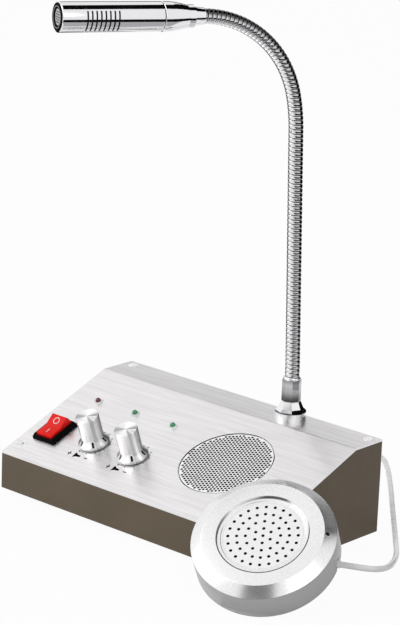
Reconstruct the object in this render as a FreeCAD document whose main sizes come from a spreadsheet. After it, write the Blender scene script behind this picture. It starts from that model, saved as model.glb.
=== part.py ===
import FreeCAD, Part
import math
import os
import re
import Sketcher

# Teller window intercom: a wedge-shaped desk unit with a gooseneck microphone, and the small
# round station for the customer's side, which leans on the desk unit's front corner.
# Frame: origin on the table under the middle of the case, +X to the right, +Y to the back,
# +Z up, millimetres. Each group of pieces is drawn in a frame of its own and then placed.

SIZES = {
    # case and face plate
    "case_width": 180.0, "case_depth": 100.0, "front_height": 20.7, "rear_height": 51.0,
    "flat_depth": 21.9, "case_wall": 2.0, "corner_block": 11.0, "plate_thick": 1.0,
    "plate_bend": 3.0, "cover_thick": 1.5, "seat_gap": 0.2,
    # feet
    "foot_height": 3.5, "foot_radius": 6.0, "foot_from_side": 16.0, "foot_from_front": 14.0,
    # countersunk screws
    "screw_radius": 1.45, "screw_head_radius": 2.7, "screw_head_height": 1.3,
    "screw_length": 6.0, "screw_gap": 0.1, "screw_from_side": 5.8, "front_screw_s": 10.0,
    "rear_screw_edge": 5.0, "cover_screw_edge": 7.0,
    # loudspeaker behind the perforated disc
    "grille_from_side": 56.25, "grille_above_middle": 2.9, "grille_radius": 25.8, "grille_gap": 0.3,
    "grille_recess": 0.3, "grille_flange": 3.7, "grille_flange_thick": 0.8,
    "grille_hole": 1.15, "grille_pitch": 3.4, "grille_rim": 1.6,
    "basket_radius": 28.5, "basket_lip": 2.5, "basket_depth": 16.0, "basket_rear": 14.0,
    "basket_wall": 1.5, "magnet_depth": 6.0, "cone_gap": 0.4, "cone_depth": 8.5,
    # rotary controls
    "knob_left_in": 43.95, "knob_right_in": 72.45, "knob_s": 27.75, "knob_height": 18.0,
    "knob_radius": 6.2, "knob_top_radius": 6.4, "knob_skirt_radius": 8.5,
    "knob_skirt_top": 1.6, "knob_flare_top": 4.8, "knob_gap": 0.5, "knob_edge": 0.45,
    "knob_roof": 2.3, "knob_notch": 0.9, "knob_notch_floor": 2.0, "knob_notch_inset": 0.25,
    "pot_radius": 8.0, "pot_height": 7.5, "bushing_radius": 3.5, "bushing_top": 2.6,
    "shaft_radius": 3.0, "shaft_gap": 0.05, "shaft_sink": 2.0, "pot_nut_radius": 5.4,
    "pot_nut_thick": 2.0, "knob_hollow": 5.6, "knob_hollow_top": 3.0,
    # rocker switch
    "switch_in": 15.7, "switch_s": 26.2, "bezel_width": 16.5, "bezel_length": 20.0,
    "bezel_height": 2.6, "bezel_draft": 0.9, "switch_well_width": 10.4,
    "switch_well_length": 17.4, "switch_well_depth": 7.0, "switch_body_width": 12.8,
    "switch_body_length": 19.0, "switch_body_depth": 13.0, "tab_width": 4.8,
    "tab_thick": 0.8, "tab_length": 6.5, "tab_pitch": 7.0, "rocker_side_gap": 0.25,
    "rocker_reach": 8.35, "rocker_tilt": 12.0, "rocker_pivot_height": 1.0,
    "rocker_crown": 2.9, "rocker_keel": 3.6, "rocker_keel_half": 4.5, "rocker_pin": 1.2,
    "rocker_pin_out": 0.9,
    # indicator lamps
    "lamp_left_in": 19.15, "lamp_mid_in": 46.85, "lamp_right_in": 74.65, "lamp_below_bend": 25.9,
    "lamp_radius": 1.5, "lamp_gap": 0.06, "lamp_body": 5.0, "lamp_stand": 0.9,
    "lamp_ring_radius": 2.7, "lamp_ring_height": 0.6, "lamp_sleeve": 2.1,
    "lamp_sleeve_depth": 3.0,
    # gooseneck foot on the flat part of the plate
    "neck_from_side": 55.6, "neck_from_rear": 8.7, "stem_radius": 5.0, "stem_below": 9.0,
    "stem_above": 8.0, "washer_radius": 8.4, "washer_height": 3.8, "nut_flare_top": 9.5,
    "nut_radius": 4.75, "nut_top": 21.3, "nut_wall_gap": 0.1, "collar_radius": 4.4,
    "collar_top": 22.5, "lock_nut_radius": 7.4, "lock_nut_thick": 3.0,
    # gooseneck: straight lengths, then a wide arc and a tight one
    "neck_radius": 3.9, "neck_gap": 0.3, "neck_first_pivot": 29.0, "neck_yaw": -115.3,
    "neck_lean": 2.22, "neck_length": 36.35, "neck_last_straight": 18.6,
    "neck_wide_radius": 100.0, "neck_wide_turn": 10.3, "neck_tight_radius": 54.5,
    "neck_tight_turn": 38.0, "neck_plug": 6.0,
    # microphone head
    "head_radius": 7.75, "sleeve_length": 23.0, "sleeve_start": 4.5, "sleeve_waist": 5.15,
    "sleeve_shoulder": 7.0, "barrel_length": 54.4, "barrel_wall": 0.8, "barrel_joint": 0.4,
    "slot_width": 0.8, "slot_pitch": 2.37, "slot_first": 13.5, "slot_count": 8,
    "slot_half_angle": 60.0, "slot_turn": 62.0, "tip_ring_inner": 4.9,
    "tip_ring_depth": 3.2, "tip_ring_proud": 0.4, "tip_ring_round": 0.6,
    "tip_face_thick": 0.6, "tip_face_recess": 0.5, "tip_hole": 0.45, "tip_pitch": 1.5,
    "capsule_radius": 4.6, "capsule_depth": 5.0,
    # customer's station
    "station_radius": 36.4, "station_face_radius": 30.6, "station_depth": 18.3,
    "station_bevel": 3.7, "station_wall": 1.6, "station_pad_radius": 35.6,
    "station_pad_thick": 1.0, "station_lean": 33.99, "station_yaw": 21.19,
    "station_aside": 10.34, "lean_gap": 0.3, "dish_radius": 22.9, "dish_inner": 21.3,
    "dish_depth": 1.45, "dish_groove": 2.3, "dish_gap": 0.2, "dish_thick": 1.2,
    "dish_flange": 1.9, "dish_hole": 0.8, "dish_ring_pitch": 4.37, "dish_turn": 12.3,
    "holes_first": 6, "holes_second": 12, "holes_third": 20, "holes_fourth": 24,
    "driver_radius": 20.0, "driver_lip": 3.0, "driver_depth": 5.0, "driver_magnet": 11.0,
    "driver_magnet_depth": 4.5, "pin_hole_radius": 1.1, "pin_hole_at": 32.0,
    "pin_hole_angle": 12.6, "station_mic_radius": 2.0, "station_mic_depth": 2.6,
    "station_mic_gap": 0.65,
    "notch_width": 5.8, "notch_depth": 6.2, "notch_angle": 0.5, "gland_gap": 0.1,
    "gland_proud": 0.4, "gland_inward": 2.6,
    # circuit board and sockets at the back
    "standoff_height": 5.0, "standoff_radius": 3.0, "board_thick": 1.6, "board_from_side": 13.5,
    "board_width": 80.5, "board_from_rear": 6.0, "board_depth": 74.0, "board_margin": 5.0,
    "socket_size": 12.0, "socket_length": 13.0, "socket_bushing": 3.9, "socket_proud": 1.6,
    "socket_bore": 1.8, "socket_bore_depth": 13.5, "socket_nut_radius": 5.8,
    "socket_nut_thick": 1.5, "station_socket_in": 42.0, "record_socket_in": 76.0,
    "power_socket_in": 20.0, "power_bore": 3.2, "power_bore_depth": 9.0, "power_pin": 1.05,
    "power_rim": 5.2, "power_rim_proud": 1.0, "chip_width": 20.0, "chip_thick": 4.0,
    "chip_height": 13.0, "chip_across": 42.5, "chip_along": 34.0, "can_radius": 4.0,
    "can_height": 11.0, "can_across": 64.5, "can_along": 48.0, "can_pitch": 10.5,
    # station cord
    "cord_radius": 1.5, "coil_x": -30.0, "coil_y": 105.0, "coil_radius": 18.0,
    "coil_section": 7.5, "plug_radius": 3.6, "plug_length": 15.0, "plug_neck": 2.2,
    "plug_neck_length": 6.0, "plug_tip": 1.75, "plug_tip_length": 13.0, "cord_lead": 6.0,
    "tail_lead": 9.5,
}

# Points of the cord from the station to the coil behind the case, and from there to the plug.
CORD_ROUTE = [
    (153.7, -33.9, 23.4), (156.3, -25.1, 23.0), (144.4, -3.9, 19.4), (118.5, 29.4, 9.5),
    (94.7, 59.4, 2.7), (69.6, 89.4, 1.6), (45.4, 118.6, 1.6), (14.6, 152.8, 1.6),
    (-15.0, 157.4, 1.6), (-42.0, 139.0, 2.4), (-47.8, 108.4, 4.0),
]
TAIL_ROUTE = [(-48.9, 91.4, 15.2), (-48.0, 99.6, 11.4)]

# number of holes on each ring of the dished disc, from the middle outwards
DISH_RINGS = ("holes_first", "holes_second", "holes_third", "holes_fourth")
EMPTY = FreeCAD.Placement()
X, Y, Z = FreeCAD.Vector(1, 0, 0), FreeCAD.Vector(0, 1, 0), FreeCAD.Vector(0, 0, 1)

doc = FreeCAD.newDocument("TellerIntercom")
sheet = doc.addObject("Spreadsheet::Sheet", "Size")
parts = []


def fill_sheet():
    for row, (alias, value) in enumerate(SIZES.items(), start=1):
        sheet.set("A%d" % row, alias)
        sheet.set("B%d" % row, str(value))
        sheet.setAlias("B%d" % row, alias)
    doc.recompute()


def size(alias):
    return float(sheet.get(alias))


def bound(text):
    """Expression on the sheet's cells: every alias in the text gets the sheet's name."""
    return re.sub(r"[a-z_]+", lambda m: "Size." + m.group() if m.group() in SIZES else m.group(),
                  text)


def at(x=0.0, y=0.0, z=0.0):
    return FreeCAD.Placement(FreeCAD.Vector(x, y, z), FreeCAD.Rotation())


def turned(axis, angle):
    return FreeCAD.Placement(FreeCAD.Vector(), FreeCAD.Rotation(axis, angle))


def keep(thing, label, frame=EMPTY):
    """Names a finished piece and puts it in its place."""
    thing.Label = label
    thing.Placement = frame
    parts.append(thing)
    return thing


# ---- drawing helpers ---------------------------------------------------------------------

def sketch_on(body, role):
    sketch = body.newObject("Sketcher::SketchObject", "Sketch")
    plane = [f for f in body.Origin.OriginFeatures if f.Role == role][0]
    sketch.AttachmentSupport = [(plane, "")]
    sketch.MapMode = "FlatFace"
    return sketch


def pin_point(sketch, geometry, end, x_text, y_text, x_now, y_now):
    for kind, text, now in (("DistanceX", x_text, x_now), ("DistanceY", y_text, y_now)):
        index = sketch.addConstraint(Sketcher.Constraint(kind, -1, 1, geometry, end, now))
        sketch.setExpression("Constraints[%d]" % index, bound(text))


def outline(sketch, corners):
    """Closed polygon whose corners are pairs of expressions."""
    first, count = sketch.GeometryCount, len(corners)
    rough = [(i + 1.0, (i + 1.0) ** 2) for i in range(count)]
    for i in range(count):
        ends = [FreeCAD.Vector(*rough[j % count], 0) for j in (i, i + 1)]
        sketch.addGeometry(Part.LineSegment(*ends), False)
    for i, (x_text, y_text) in enumerate(corners):
        follower = first + (i + 1) % count
        sketch.addConstraint(Sketcher.Constraint("Coincident", first + i, 2, follower, 1))
        pin_point(sketch, first + i, 1, x_text, y_text, *rough[i])


def ring(sketch, x_text, y_text, radius_text):
    index = sketch.addGeometry(Part.Circle(FreeCAD.Vector(1, 1, 0), Z, 1.0), False)
    pin_point(sketch, index, 3, x_text, y_text, 1.0, 1.0)
    radius = sketch.addConstraint(Sketcher.Constraint("Radius", index, 1.0))
    sketch.setExpression("Constraints[%d]" % radius, bound(radius_text))


def box_corners(half_x, half_y, x="0", y="0"):
    return [("%s - (%s)" % (x, half_x), "%s - (%s)" % (y, half_y)),
            ("%s + (%s)" % (x, half_x), "%s - (%s)" % (y, half_y)),
            ("%s + (%s)" % (x, half_x), "%s + (%s)" % (y, half_y)),
            ("%s - (%s)" % (x, half_x), "%s + (%s)" % (y, half_y))]


def new_body(name):
    return doc.addObject("PartDesign::Body", name)


def pad(body, sketch, length, middle=False, below=False):
    feature = body.newObject("PartDesign::Pad", "Pad")
    feature.Profile = sketch
    feature.setExpression("Length", bound(length))
    feature.Midplane, feature.Reversed = middle, below
    return feature


def pocket(body, sketch, length=None, upwards=False):
    """Cuts down from the sketch, up from it, or both ways right through without a length."""
    feature = body.newObject("PartDesign::Pocket", "Pocket")
    feature.Profile = sketch
    if length is None:
        feature.Type, feature.Midplane = "ThroughAll", True
    else:
        feature.setExpression("Length", bound(length))
        feature.Reversed = upwards
    return feature


def lathe(name, corners):
    """Solid of revolution about Z of a profile of (radius, height) expressions."""
    body = new_body(name)
    sketch = sketch_on(body, "XZ_Plane")
    outline(sketch, corners)
    feature = body.newObject("PartDesign::Revolution", "Revolution")
    feature.Profile = sketch
    feature.ReferenceAxis = (sketch, ["V_Axis"])
    feature.Angle = 360.0
    return body


def prism(name, corners, length, middle=False, below=False, role="XY_Plane"):
    body = new_body(name)
    sketch = sketch_on(body, role)
    outline(sketch, corners)
    pad(body, sketch, length, middle, below)
    return body


def solid(kind, name, frame=EMPTY, **sizes):
    thing = doc.addObject("Part::" + kind, name)
    for prop, text in sizes.items():
        thing.setExpression(prop, bound(text))
    thing.Placement = frame
    return thing


def rod(name, radius, height, frame=EMPTY):
    return solid("Cylinder", name, frame, Radius=radius, Height=height)


def together(name, things):
    joined = doc.addObject("Part::MultiFuse", name)
    joined.Shapes = things
    return joined


def less(name, base, tools):
    """The base with all of the tools cut away."""
    result = doc.addObject("Part::Cut", name)
    result.Base = base
    result.Tool = tools[0] if len(tools) == 1 else together(name + "Tools", tools)
    return result


def within(name, base, limit):
    result = doc.addObject("Part::Common", name)
    result.Base, result.Tool = base, limit
    return result


def copies(name, master, frames):
    """Equal solids at several places, as one compound."""
    doc.recompute()
    feature = doc.addObject("Part::Feature", name)
    feature.Shape = Part.makeCompound([master.Shape.transformed(f.toMatrix()) for f in frames])
    return feature


# ---- frames ------------------------------------------------------------------------------

SLOPE_TEXT = "atan((rear_height - front_height)/(case_depth - flat_depth))"


def slope_angle():
    rise = size("rear_height") - size("front_height")
    return math.degrees(math.atan2(rise, size("case_depth") - size("flat_depth")))


def case_frame():
    return at(z=size("foot_height"))


def slope_frame(x, s):
    """On the sloping face: x across, s up the slope from its front edge, z outwards."""
    edge = case_frame() * at(0, -size("case_depth") / 2, size("front_height"))
    return edge * turned(X, slope_angle()) * at(x, s, 0)


def flat_frame(x, y):
    return case_frame() * at(x, y, size("rear_height"))


def left_side(name):
    """Across the case, measured in from its left side."""
    return size(name) - size("case_width") / 2


def right_side(name):
    return size("case_width") / 2 - size(name)


def grille_frame():
    """Middle of the loudspeaker, a little above the middle of the slope."""
    run = size("case_depth") - size("flat_depth")
    slope = math.hypot(run, size("rear_height") - size("front_height"))
    return slope_frame(right_side("grille_from_side"), slope / 2 + size("grille_above_middle"))


def lamp_frame(name):
    run = size("case_depth") - size("flat_depth")
    slope = math.hypot(run, size("rear_height") - size("front_height"))
    return slope_frame(left_side(name), slope - size("lamp_below_bend"))


def neck_foot_frame():
    return flat_frame(right_side("neck_from_side"),
                      size("case_depth") / 2 - size("neck_from_rear"))


def rear_frame(name):
    """On the rear wall at the height of the sockets, z outwards."""
    height = (size("cover_thick") + size("standoff_height") + size("board_thick")
              + size("socket_size") / 2)
    return case_frame() * at(left_side(name), size("case_depth") / 2, height) * turned(X, -90)


def station_frame():
    """Middle of the station's face, z outwards. Its back rests on the table and on the
    front right corner of the face plate."""
    lean = math.radians(size("station_lean"))
    corner = FreeCAD.Vector(size("case_width") / 2, -size("case_depth") / 2,
                            size("foot_height") + size("front_height"))
    way = turned(Z, size("station_yaw")) * turned(X, size("station_lean"))
    thickness = size("station_depth") + size("station_pad_thick")
    uphill = size("station_pad_radius") - (
        corner.z + size("lean_gap") * math.cos(lean)) / math.sin(lean)
    offset = way.Rotation.multVec(
        FreeCAD.Vector(size("station_aside"), uphill, thickness + size("lean_gap")))
    return FreeCAD.Placement(corner + offset, way.Rotation)


def neck_frames():
    """Start of each neck length and of the head: z along the neck, x to the side it bends to."""
    foot = neck_foot_frame() * at(z=size("neck_first_pivot"))
    frame = foot * turned(Z, size("neck_yaw")) * turned(Y, size("neck_lean"))
    frames = [frame]
    for _ in range(3):
        frames.append(frames[-1] * at(z=size("neck_length")))
    bend = frames[-1] * at(z=size("neck_last_straight"))
    frames.append(bend * arc_end("neck_wide_radius", "neck_wide_turn"))
    for _ in range(2):
        frames.append(frames[-1] * arc_end("neck_tight_radius", "neck_tight_turn"))
    return frames


def arc_end(radius, turn):
    angle, bend = math.radians(size(turn)), size(radius)
    return at(bend * (1 - math.cos(angle)), 0, bend * math.sin(angle)) * turned(Y, size(turn))


# ---- fasteners ---------------------------------------------------------------------------

def plate_screw_frames():
    x = right_side("screw_from_side")
    front = [slope_frame(side * x, size("front_screw_s")) for side in (-1, 1)]
    rear_y = size("case_depth") / 2 - size("rear_screw_edge")
    return front + [flat_frame(side * x, rear_y) for side in (-1, 1)]


def cover_screw_frames():
    upside_down = case_frame() * turned(X, 180)
    x, y = right_side("screw_from_side"), size("case_depth") / 2 - size("cover_screw_edge")
    return [upside_down * at(i * x, j * y) for i in (-1, 1) for j in (-1, 1)]


def screw_profile(gap, extra):
    shank, head = "screw_radius + " + gap, "screw_head_radius + " + gap
    end = "-screw_length - " + extra
    return [("0", "0"), (head, "0"), (shank, "-screw_head_height"), (shank, end), ("0", end)]


def fasteners():
    screw = lathe("ScrewMaster", screw_profile("0", "0"))
    hole = lathe("ScrewHoleMaster", screw_profile("screw_gap", "screw_gap"))
    keep(copies("PlateScrews", screw, plate_screw_frames()), "plate_screws")
    keep(copies("CoverScrews", screw, cover_screw_frames()), "cover_screws")
    return hole


# ---- case --------------------------------------------------------------------------------

PLATE_FRONT_UNDER = ("-case_depth/2", "front_height - plate_thick/cos(%s)" % SLOPE_TEXT)
PLATE_BEND_UNDER = ("case_depth/2 - flat_depth + plate_thick*tan(%s/2)" % SLOPE_TEXT,
                    "rear_height - plate_thick")
PLATE_BACK_UNDER = ("case_depth/2", "rear_height - plate_thick")


def case_shell(hole):
    body = new_body("CaseShell")
    side = sketch_on(body, "YZ_Plane")
    outline(side, [("-case_depth/2", "0"), ("case_depth/2", "0"), PLATE_BACK_UNDER,
                   PLATE_BEND_UNDER, PLATE_FRONT_UNDER])
    pad(body, side, "case_width", middle=True)
    inside = sketch_on(body, "XY_Plane")
    outline(inside, inner_outline())
    pocket(body, inside)
    rabbet = sketch_on(body, "XY_Plane")
    outline(rabbet, box_corners("case_width/2 - case_wall/2", "case_depth/2 - case_wall/2"))
    pocket(body, rabbet, "cover_thick", upwards=True)
    body.Placement = case_frame()
    drill = copies("CaseScrewHoles", hole, plate_screw_frames() + cover_screw_frames())
    reach = 2 * size("case_wall")
    sockets = [rod("SocketHole", "socket_bushing + seat_gap", "4*case_wall",
                   rear_frame(name) * at(z=-reach))
               for name in ("station_socket_in", "record_socket_in")]
    sockets.append(rod("PowerHole", "power_rim - power_rim_proud + seat_gap", "4*case_wall",
                       rear_frame("power_socket_in") * at(z=-reach)))
    keep(less("CaseShellDrilled", body, [drill] + sockets), "case_shell")


def inner_outline():
    """Inside of the four walls with a square block for the screws left in each corner."""
    ix, iy = "case_width/2 - case_wall", "case_depth/2 - case_wall"
    bx, by = ix + " - corner_block", iy + " - corner_block"
    quarter = [(ix, by), (bx, by), (bx, iy)]
    signs = ((1, 1), (-1, 1), (-1, -1), (1, -1))
    corners = []
    for sx, sy in signs:
        steps = quarter if sx * sy > 0 else quarter[::-1]
        corners += [("%d*(%s)" % (sx, x), "%d*(%s)" % (sy, y)) for x, y in steps]
    return corners


BOARD_LEFT = "board_from_side - case_width/2"
BOARD_FRONT = "case_depth/2 - board_from_rear - board_depth"


def bottom_cover(hole):
    body = new_body("BottomCover")
    slab = sketch_on(body, "XY_Plane")
    outline(slab, box_corners("case_width/2 - case_wall/2 - seat_gap",
                              "case_depth/2 - case_wall/2 - seat_gap"))
    pad(body, slab, "cover_thick")
    posts = sketch_on(body, "XY_Plane")
    for x in (BOARD_LEFT + " + board_margin", BOARD_LEFT + " + board_width - board_margin"):
        for y in (BOARD_FRONT + " + board_margin", BOARD_FRONT + " + board_depth - board_margin"):
            ring(posts, x, y, "standoff_radius")
    pad(body, posts, "cover_thick + standoff_height")
    body.Placement = case_frame()
    drill = copies("CoverScrewHoles", hole, cover_screw_frames())
    keep(less("BottomCoverDrilled", body, [drill]), "bottom_cover")


def feet():
    foot = lathe("FootMaster", [("0", "0"), ("foot_radius - foot_height/4", "0"),
                                ("foot_radius", "foot_height"), ("0", "foot_height")])
    x, y = right_side("foot_from_side"), size("case_depth") / 2 - size("foot_from_front")
    keep(copies("Feet", foot, [at(i * x, j * y) for i in (-1, 1) for j in (-1, 1)]),
         "rubber_feet")


def face_plate(hole):
    body = new_body("FacePlate")
    side = sketch_on(body, "YZ_Plane")
    outline(side, [("-case_depth/2", "front_height"), PLATE_FRONT_UNDER, PLATE_BEND_UNDER,
                   PLATE_BACK_UNDER, ("case_depth/2", "rear_height"),
                   ("case_depth/2 - flat_depth", "rear_height")])
    sheet_pad = pad(body, side, "case_width", middle=True)
    doc.recompute()
    bend = body.newObject("PartDesign::Fillet", "Bend")
    bend.Base = (sheet_pad, [top_bend_edge(sheet_pad)])
    bend.setExpression("Radius", bound("plate_bend"))
    body.Placement = case_frame()
    sink = at(z=-2 * size("plate_thick"))
    through = "4*plate_thick"
    tools = [copies("PlateScrewHoles", hole, plate_screw_frames())]
    tools += [rod("BushingHole", "bushing_radius + screw_gap", through,
                  slope_frame(left_side(x), size("knob_s")) * sink) for x in KNOBS.values()]
    tools += [rod("LampHole", "lamp_sleeve + screw_gap", through,
                  lamp_frame(x) * sink) for x in LAMPS.values()]
    tools.append(rod("GrilleHole", "grille_radius", through,
                     grille_frame() * sink))
    tools.append(rod("StemHole", "stem_radius + screw_gap", through,
                     neck_foot_frame() * sink))
    window = prism("SwitchHole", box_corners("switch_body_width/2 + screw_gap",
                                             "switch_body_length/2 + screw_gap"),
                   through, middle=True)
    window.Placement = switch_frame()
    keep(less("FacePlateCut", body, tools + [window]), "face_plate")


def edges_at_height(feature, height):
    """Names of the edges that lie at one height."""
    return ["Edge%d" % number for number, edge in enumerate(feature.Shape.Edges, start=1)
            if all(abs(vertex.Z - height) < 1e-6 for vertex in edge.Vertexes)]


def top_bend_edge(feature):
    """Name of the outer edge where the slope meets the flat."""
    y = size("case_depth") / 2 - size("flat_depth")
    for number, edge in enumerate(feature.Shape.Edges, start=1):
        ends = [v.Point for v in edge.Vertexes]
        if all(abs(p.y - y) < 1e-6 and abs(p.z - size("rear_height")) < 1e-6 for p in ends):
            return "Edge%d" % number
    raise RuntimeError("the plate has no bend edge")


# ---- loudspeaker -------------------------------------------------------------------------

def lattice(radius, pitch):
    """Middles of a staggered pattern of holes that fit inside a circle."""
    rows, spots = int(radius / pitch) + 2, []
    step = pitch * math.sqrt(3) / 2
    for i in range(-rows, rows + 1):
        for j in range(-rows, rows + 1):
            x, y = i * step, (j + (i % 2) / 2) * pitch
            if math.hypot(x, y) <= radius:
                spots.append((x, y))
    return spots


def hole_field(name, radius, pitch, hole, low, high, sides=6):
    feature = doc.addObject("Part::Feature", name)
    plugs = []
    for x, y in lattice(radius, pitch):
        rim = [FreeCAD.Vector(x + hole * math.cos(2 * math.pi * k / sides),
                              y + hole * math.sin(2 * math.pi * k / sides), low)
               for k in range(sides)]
        face = Part.Face(Part.makePolygon(rim + rim[:1]))
        plugs.append(face.extrude(FreeCAD.Vector(0, 0, high - low)))
    feature.Shape = Part.makeCompound(plugs)
    return feature


def loudspeaker():
    frame = grille_frame()
    disc, back = "grille_radius - grille_gap", "-plate_thick - grille_flange_thick"
    flange = "grille_radius + grille_flange"
    blank = lathe("GrilleBlank", [("0", back), (flange, back), (flange, "-plate_thick"),
                                  (disc, "-plate_thick"), (disc, "-grille_recess"),
                                  ("0", "-grille_recess")])
    reach = size("grille_radius") - size("grille_rim") - size("grille_hole")
    deep = size("plate_thick") + 2 * size("grille_flange_thick")
    field = hole_field("GrilleHoles", reach, size("grille_pitch"), size("grille_hole"),
                       -deep, deep)
    keep(less("Grille", blank, [field]), "speaker_grille", frame)
    basket(frame, back)


def basket(frame, back):
    """Basket, paper cone and magnet, hung behind the perforated disc."""
    def down(text):
        return "%s - (%s)" % (back, text)
    inner = "basket_radius - basket_lip - basket_wall"
    wall_foot = "basket_depth - basket_lip - basket_wall"
    keep(lathe("Basket", [
        (inner, back), ("basket_radius", back), ("basket_radius", down("basket_lip")),
        ("basket_radius - basket_lip", down("basket_lip")),
        ("basket_rear", down(wall_foot)), ("basket_rear", down("basket_depth")),
        ("basket_rear/2", down("basket_depth")),
        ("basket_rear/2", down("basket_depth - basket_wall")),
        ("basket_rear - basket_wall", down("basket_depth - basket_wall")),
        ("basket_rear - basket_wall", down(wall_foot + " - basket_wall/2")),
        (inner, down("basket_lip - basket_wall/2"))]), "speaker_basket", frame)
    keep(lathe("Cone", [
        (inner + " - cone_gap", down("cone_gap")), (inner + " - cone_gap", down("2*cone_gap")),
        ("basket_rear/2", down("cone_depth")), ("0", down("cone_depth - basket_rear/4")),
        ("0", down("cone_depth - basket_rear/4 - cone_gap")),
        ("basket_rear/2", down("cone_depth - 2*cone_gap")),
        (inner + " - 4*cone_gap", down("cone_gap"))]), "speaker_cone", frame)
    keep(lathe("Magnet", [
        ("0", down("basket_depth")), ("basket_rear", down("basket_depth")),
        ("basket_rear", down("basket_depth + magnet_depth")),
        ("0", down("basket_depth + magnet_depth"))]), "speaker_magnet", frame)


# ---- controls ----------------------------------------------------------------------------

KNOBS = {"left": "knob_left_in", "right": "knob_right_in"}
LAMPS = {"power": "lamp_left_in", "out": "lamp_mid_in", "in": "lamp_right_in"}


def knob_body():
    body = lathe("Knob", [
        ("knob_hollow", "knob_gap"), ("knob_skirt_radius", "knob_gap"),
        ("knob_skirt_radius", "knob_skirt_top"), ("knob_radius", "knob_flare_top"),
        ("knob_top_radius", "knob_height - knob_edge"),
        ("knob_top_radius - knob_edge", "knob_height"), ("0", "knob_height"),
        ("0", "knob_height - knob_roof"),
        ("shaft_radius + shaft_gap/2", "knob_height - knob_roof"),
        ("shaft_radius + shaft_gap/2", "knob_hollow_top"), ("knob_hollow", "knob_hollow_top")])
    notch = sketch_on(body, "XY_Plane")
    notch.AttachmentOffset = at(z=size("knob_flare_top"))
    inner, outer = "knob_radius + knob_notch_inset", "knob_skirt_radius + knob_notch"
    outline(notch, [(inner, "-knob_notch/2"), (outer, "-knob_notch/2"),
                    (outer, "knob_notch/2"), (inner, "knob_notch/2")])
    cut = pocket(body, notch, "knob_flare_top - knob_notch_floor")
    pattern = body.newObject("PartDesign::PolarPattern", "Notches")
    pattern.Originals = [cut]
    pattern.Axis = (notch, ["N_Axis"])
    pattern.Angle, pattern.Occurrences = 360.0, 6
    body.Tip = pattern
    return body


def rotary_control(side):
    frame = slope_frame(left_side(KNOBS[side]), size("knob_s"))
    keep(knob_body(), "knob_" + side, frame)
    shaft_end = "plate_thick + shaft_sink"
    keep(rod("Shaft", "shaft_radius", shaft_end + " + knob_height - knob_roof - shaft_gap"),
         "knob_shaft_" + side, frame * at(z=-size("plate_thick") - size("shaft_sink")))
    bore = "shaft_radius + shaft_gap"
    floor = "-plate_thick - shaft_sink - shaft_gap"
    keep(lathe("Pot", [
        ("0", "-plate_thick - pot_height"), ("pot_radius", "-plate_thick - pot_height"),
        ("pot_radius", "-plate_thick"), ("bushing_radius", "-plate_thick"),
        ("bushing_radius", "bushing_top"), (bore, "bushing_top"), (bore, floor),
        ("0", floor)]), "volume_pot_" + side, frame)
    return frame


def pot_nuts(frames):
    nut = solid("Prism", "NutBlank", Circumradius="pot_nut_radius", Height="pot_nut_thick")
    nut.Polygon = 6
    bored = less("NutMaster", nut, [rod("NutBore", "bushing_radius + shaft_gap",
                                        "pot_nut_thick")])
    keep(copies("PotNuts", bored, frames), "pot_nuts")


def switch_frame():
    return slope_frame(left_side("switch_in"), size("switch_s"))


def rocker_switch():
    frame = switch_frame()
    foot = prism("BezelFoot", box_corners("bezel_width/2", "bezel_length/2"), "bezel_height")
    doc.recompute()
    block = foot.Tip
    slant = foot.newObject("PartDesign::Chamfer", "Slant")
    slant.Base = (block, edges_at_height(block, size("bezel_height")))
    slant.ChamferType = "Two distances"
    slant.setExpression("Size", bound("bezel_height*2/3"))
    slant.setExpression("Size2", bound("bezel_draft"))
    stalk = prism("SwitchStalk", box_corners("switch_body_width/2", "switch_body_length/2"),
                  "switch_body_depth", below=True)
    well = prism("SwitchWell", box_corners("switch_well_width/2", "switch_well_length/2"),
                 "2*switch_well_depth", middle=True)
    axle = rod("SwitchAxleHole", "rocker_pin + shaft_gap",
               "switch_well_width + 2*rocker_pin_out + 2*shaft_gap",
               at(-size("switch_well_width") / 2 - size("rocker_pin_out") - size("shaft_gap"),
                  0, size("rocker_pivot_height")) * turned(Y, 90))
    housing = less("SwitchHousing", together("SwitchBlock", [foot, stalk]), [well, axle])
    keep(housing, "switch_housing", frame)
    tab = prism("TabMaster", box_corners("tab_width/2", "tab_thick/2"), "tab_length",
                below=True)
    tab_z = -size("switch_body_depth")
    keep(copies("Tabs", tab, [frame * at(0, i * size("tab_pitch"), tab_z) for i in (-1, 0, 1)]),
         "switch_tabs")
    rocker(frame)


def rocker(frame):
    """Paddle with a hollow top of two faces, its ends rounded about the axle."""
    reach, tilt = "rocker_reach", "tan(rocker_tilt)"
    rise = "rocker_crown + %s*%s" % (reach, tilt)
    block = prism("RockerBlock", [
        ("-" + reach, rise), ("0", "rocker_crown"), (reach, rise), (reach, "-rocker_crown/2"),
        ("rocker_keel_half", "-rocker_keel"), ("-rocker_keel_half", "-rocker_keel"),
        ("-" + reach, "-rocker_crown/2")],
        "switch_well_width - 2*rocker_side_gap", middle=True, role="YZ_Plane")
    width = size("switch_well_width")
    sweep = rod("RockerSweep", reach, "switch_well_width",
                at(-width / 2, 0, 0) * turned(Y, 90))
    paddle = within("RockerPaddle", block, sweep)
    pin_reach = width / 2 + size("rocker_pin_out")
    pins = rod("RockerPins", "rocker_pin", "switch_well_width + 2*rocker_pin_out",
               at(-pin_reach, 0, 0) * turned(Y, 90))
    pressed = frame * at(z=size("rocker_pivot_height")) * turned(X, size("rocker_tilt"))
    keep(together("Rocker", [paddle, pins]), "rocker", pressed)


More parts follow.
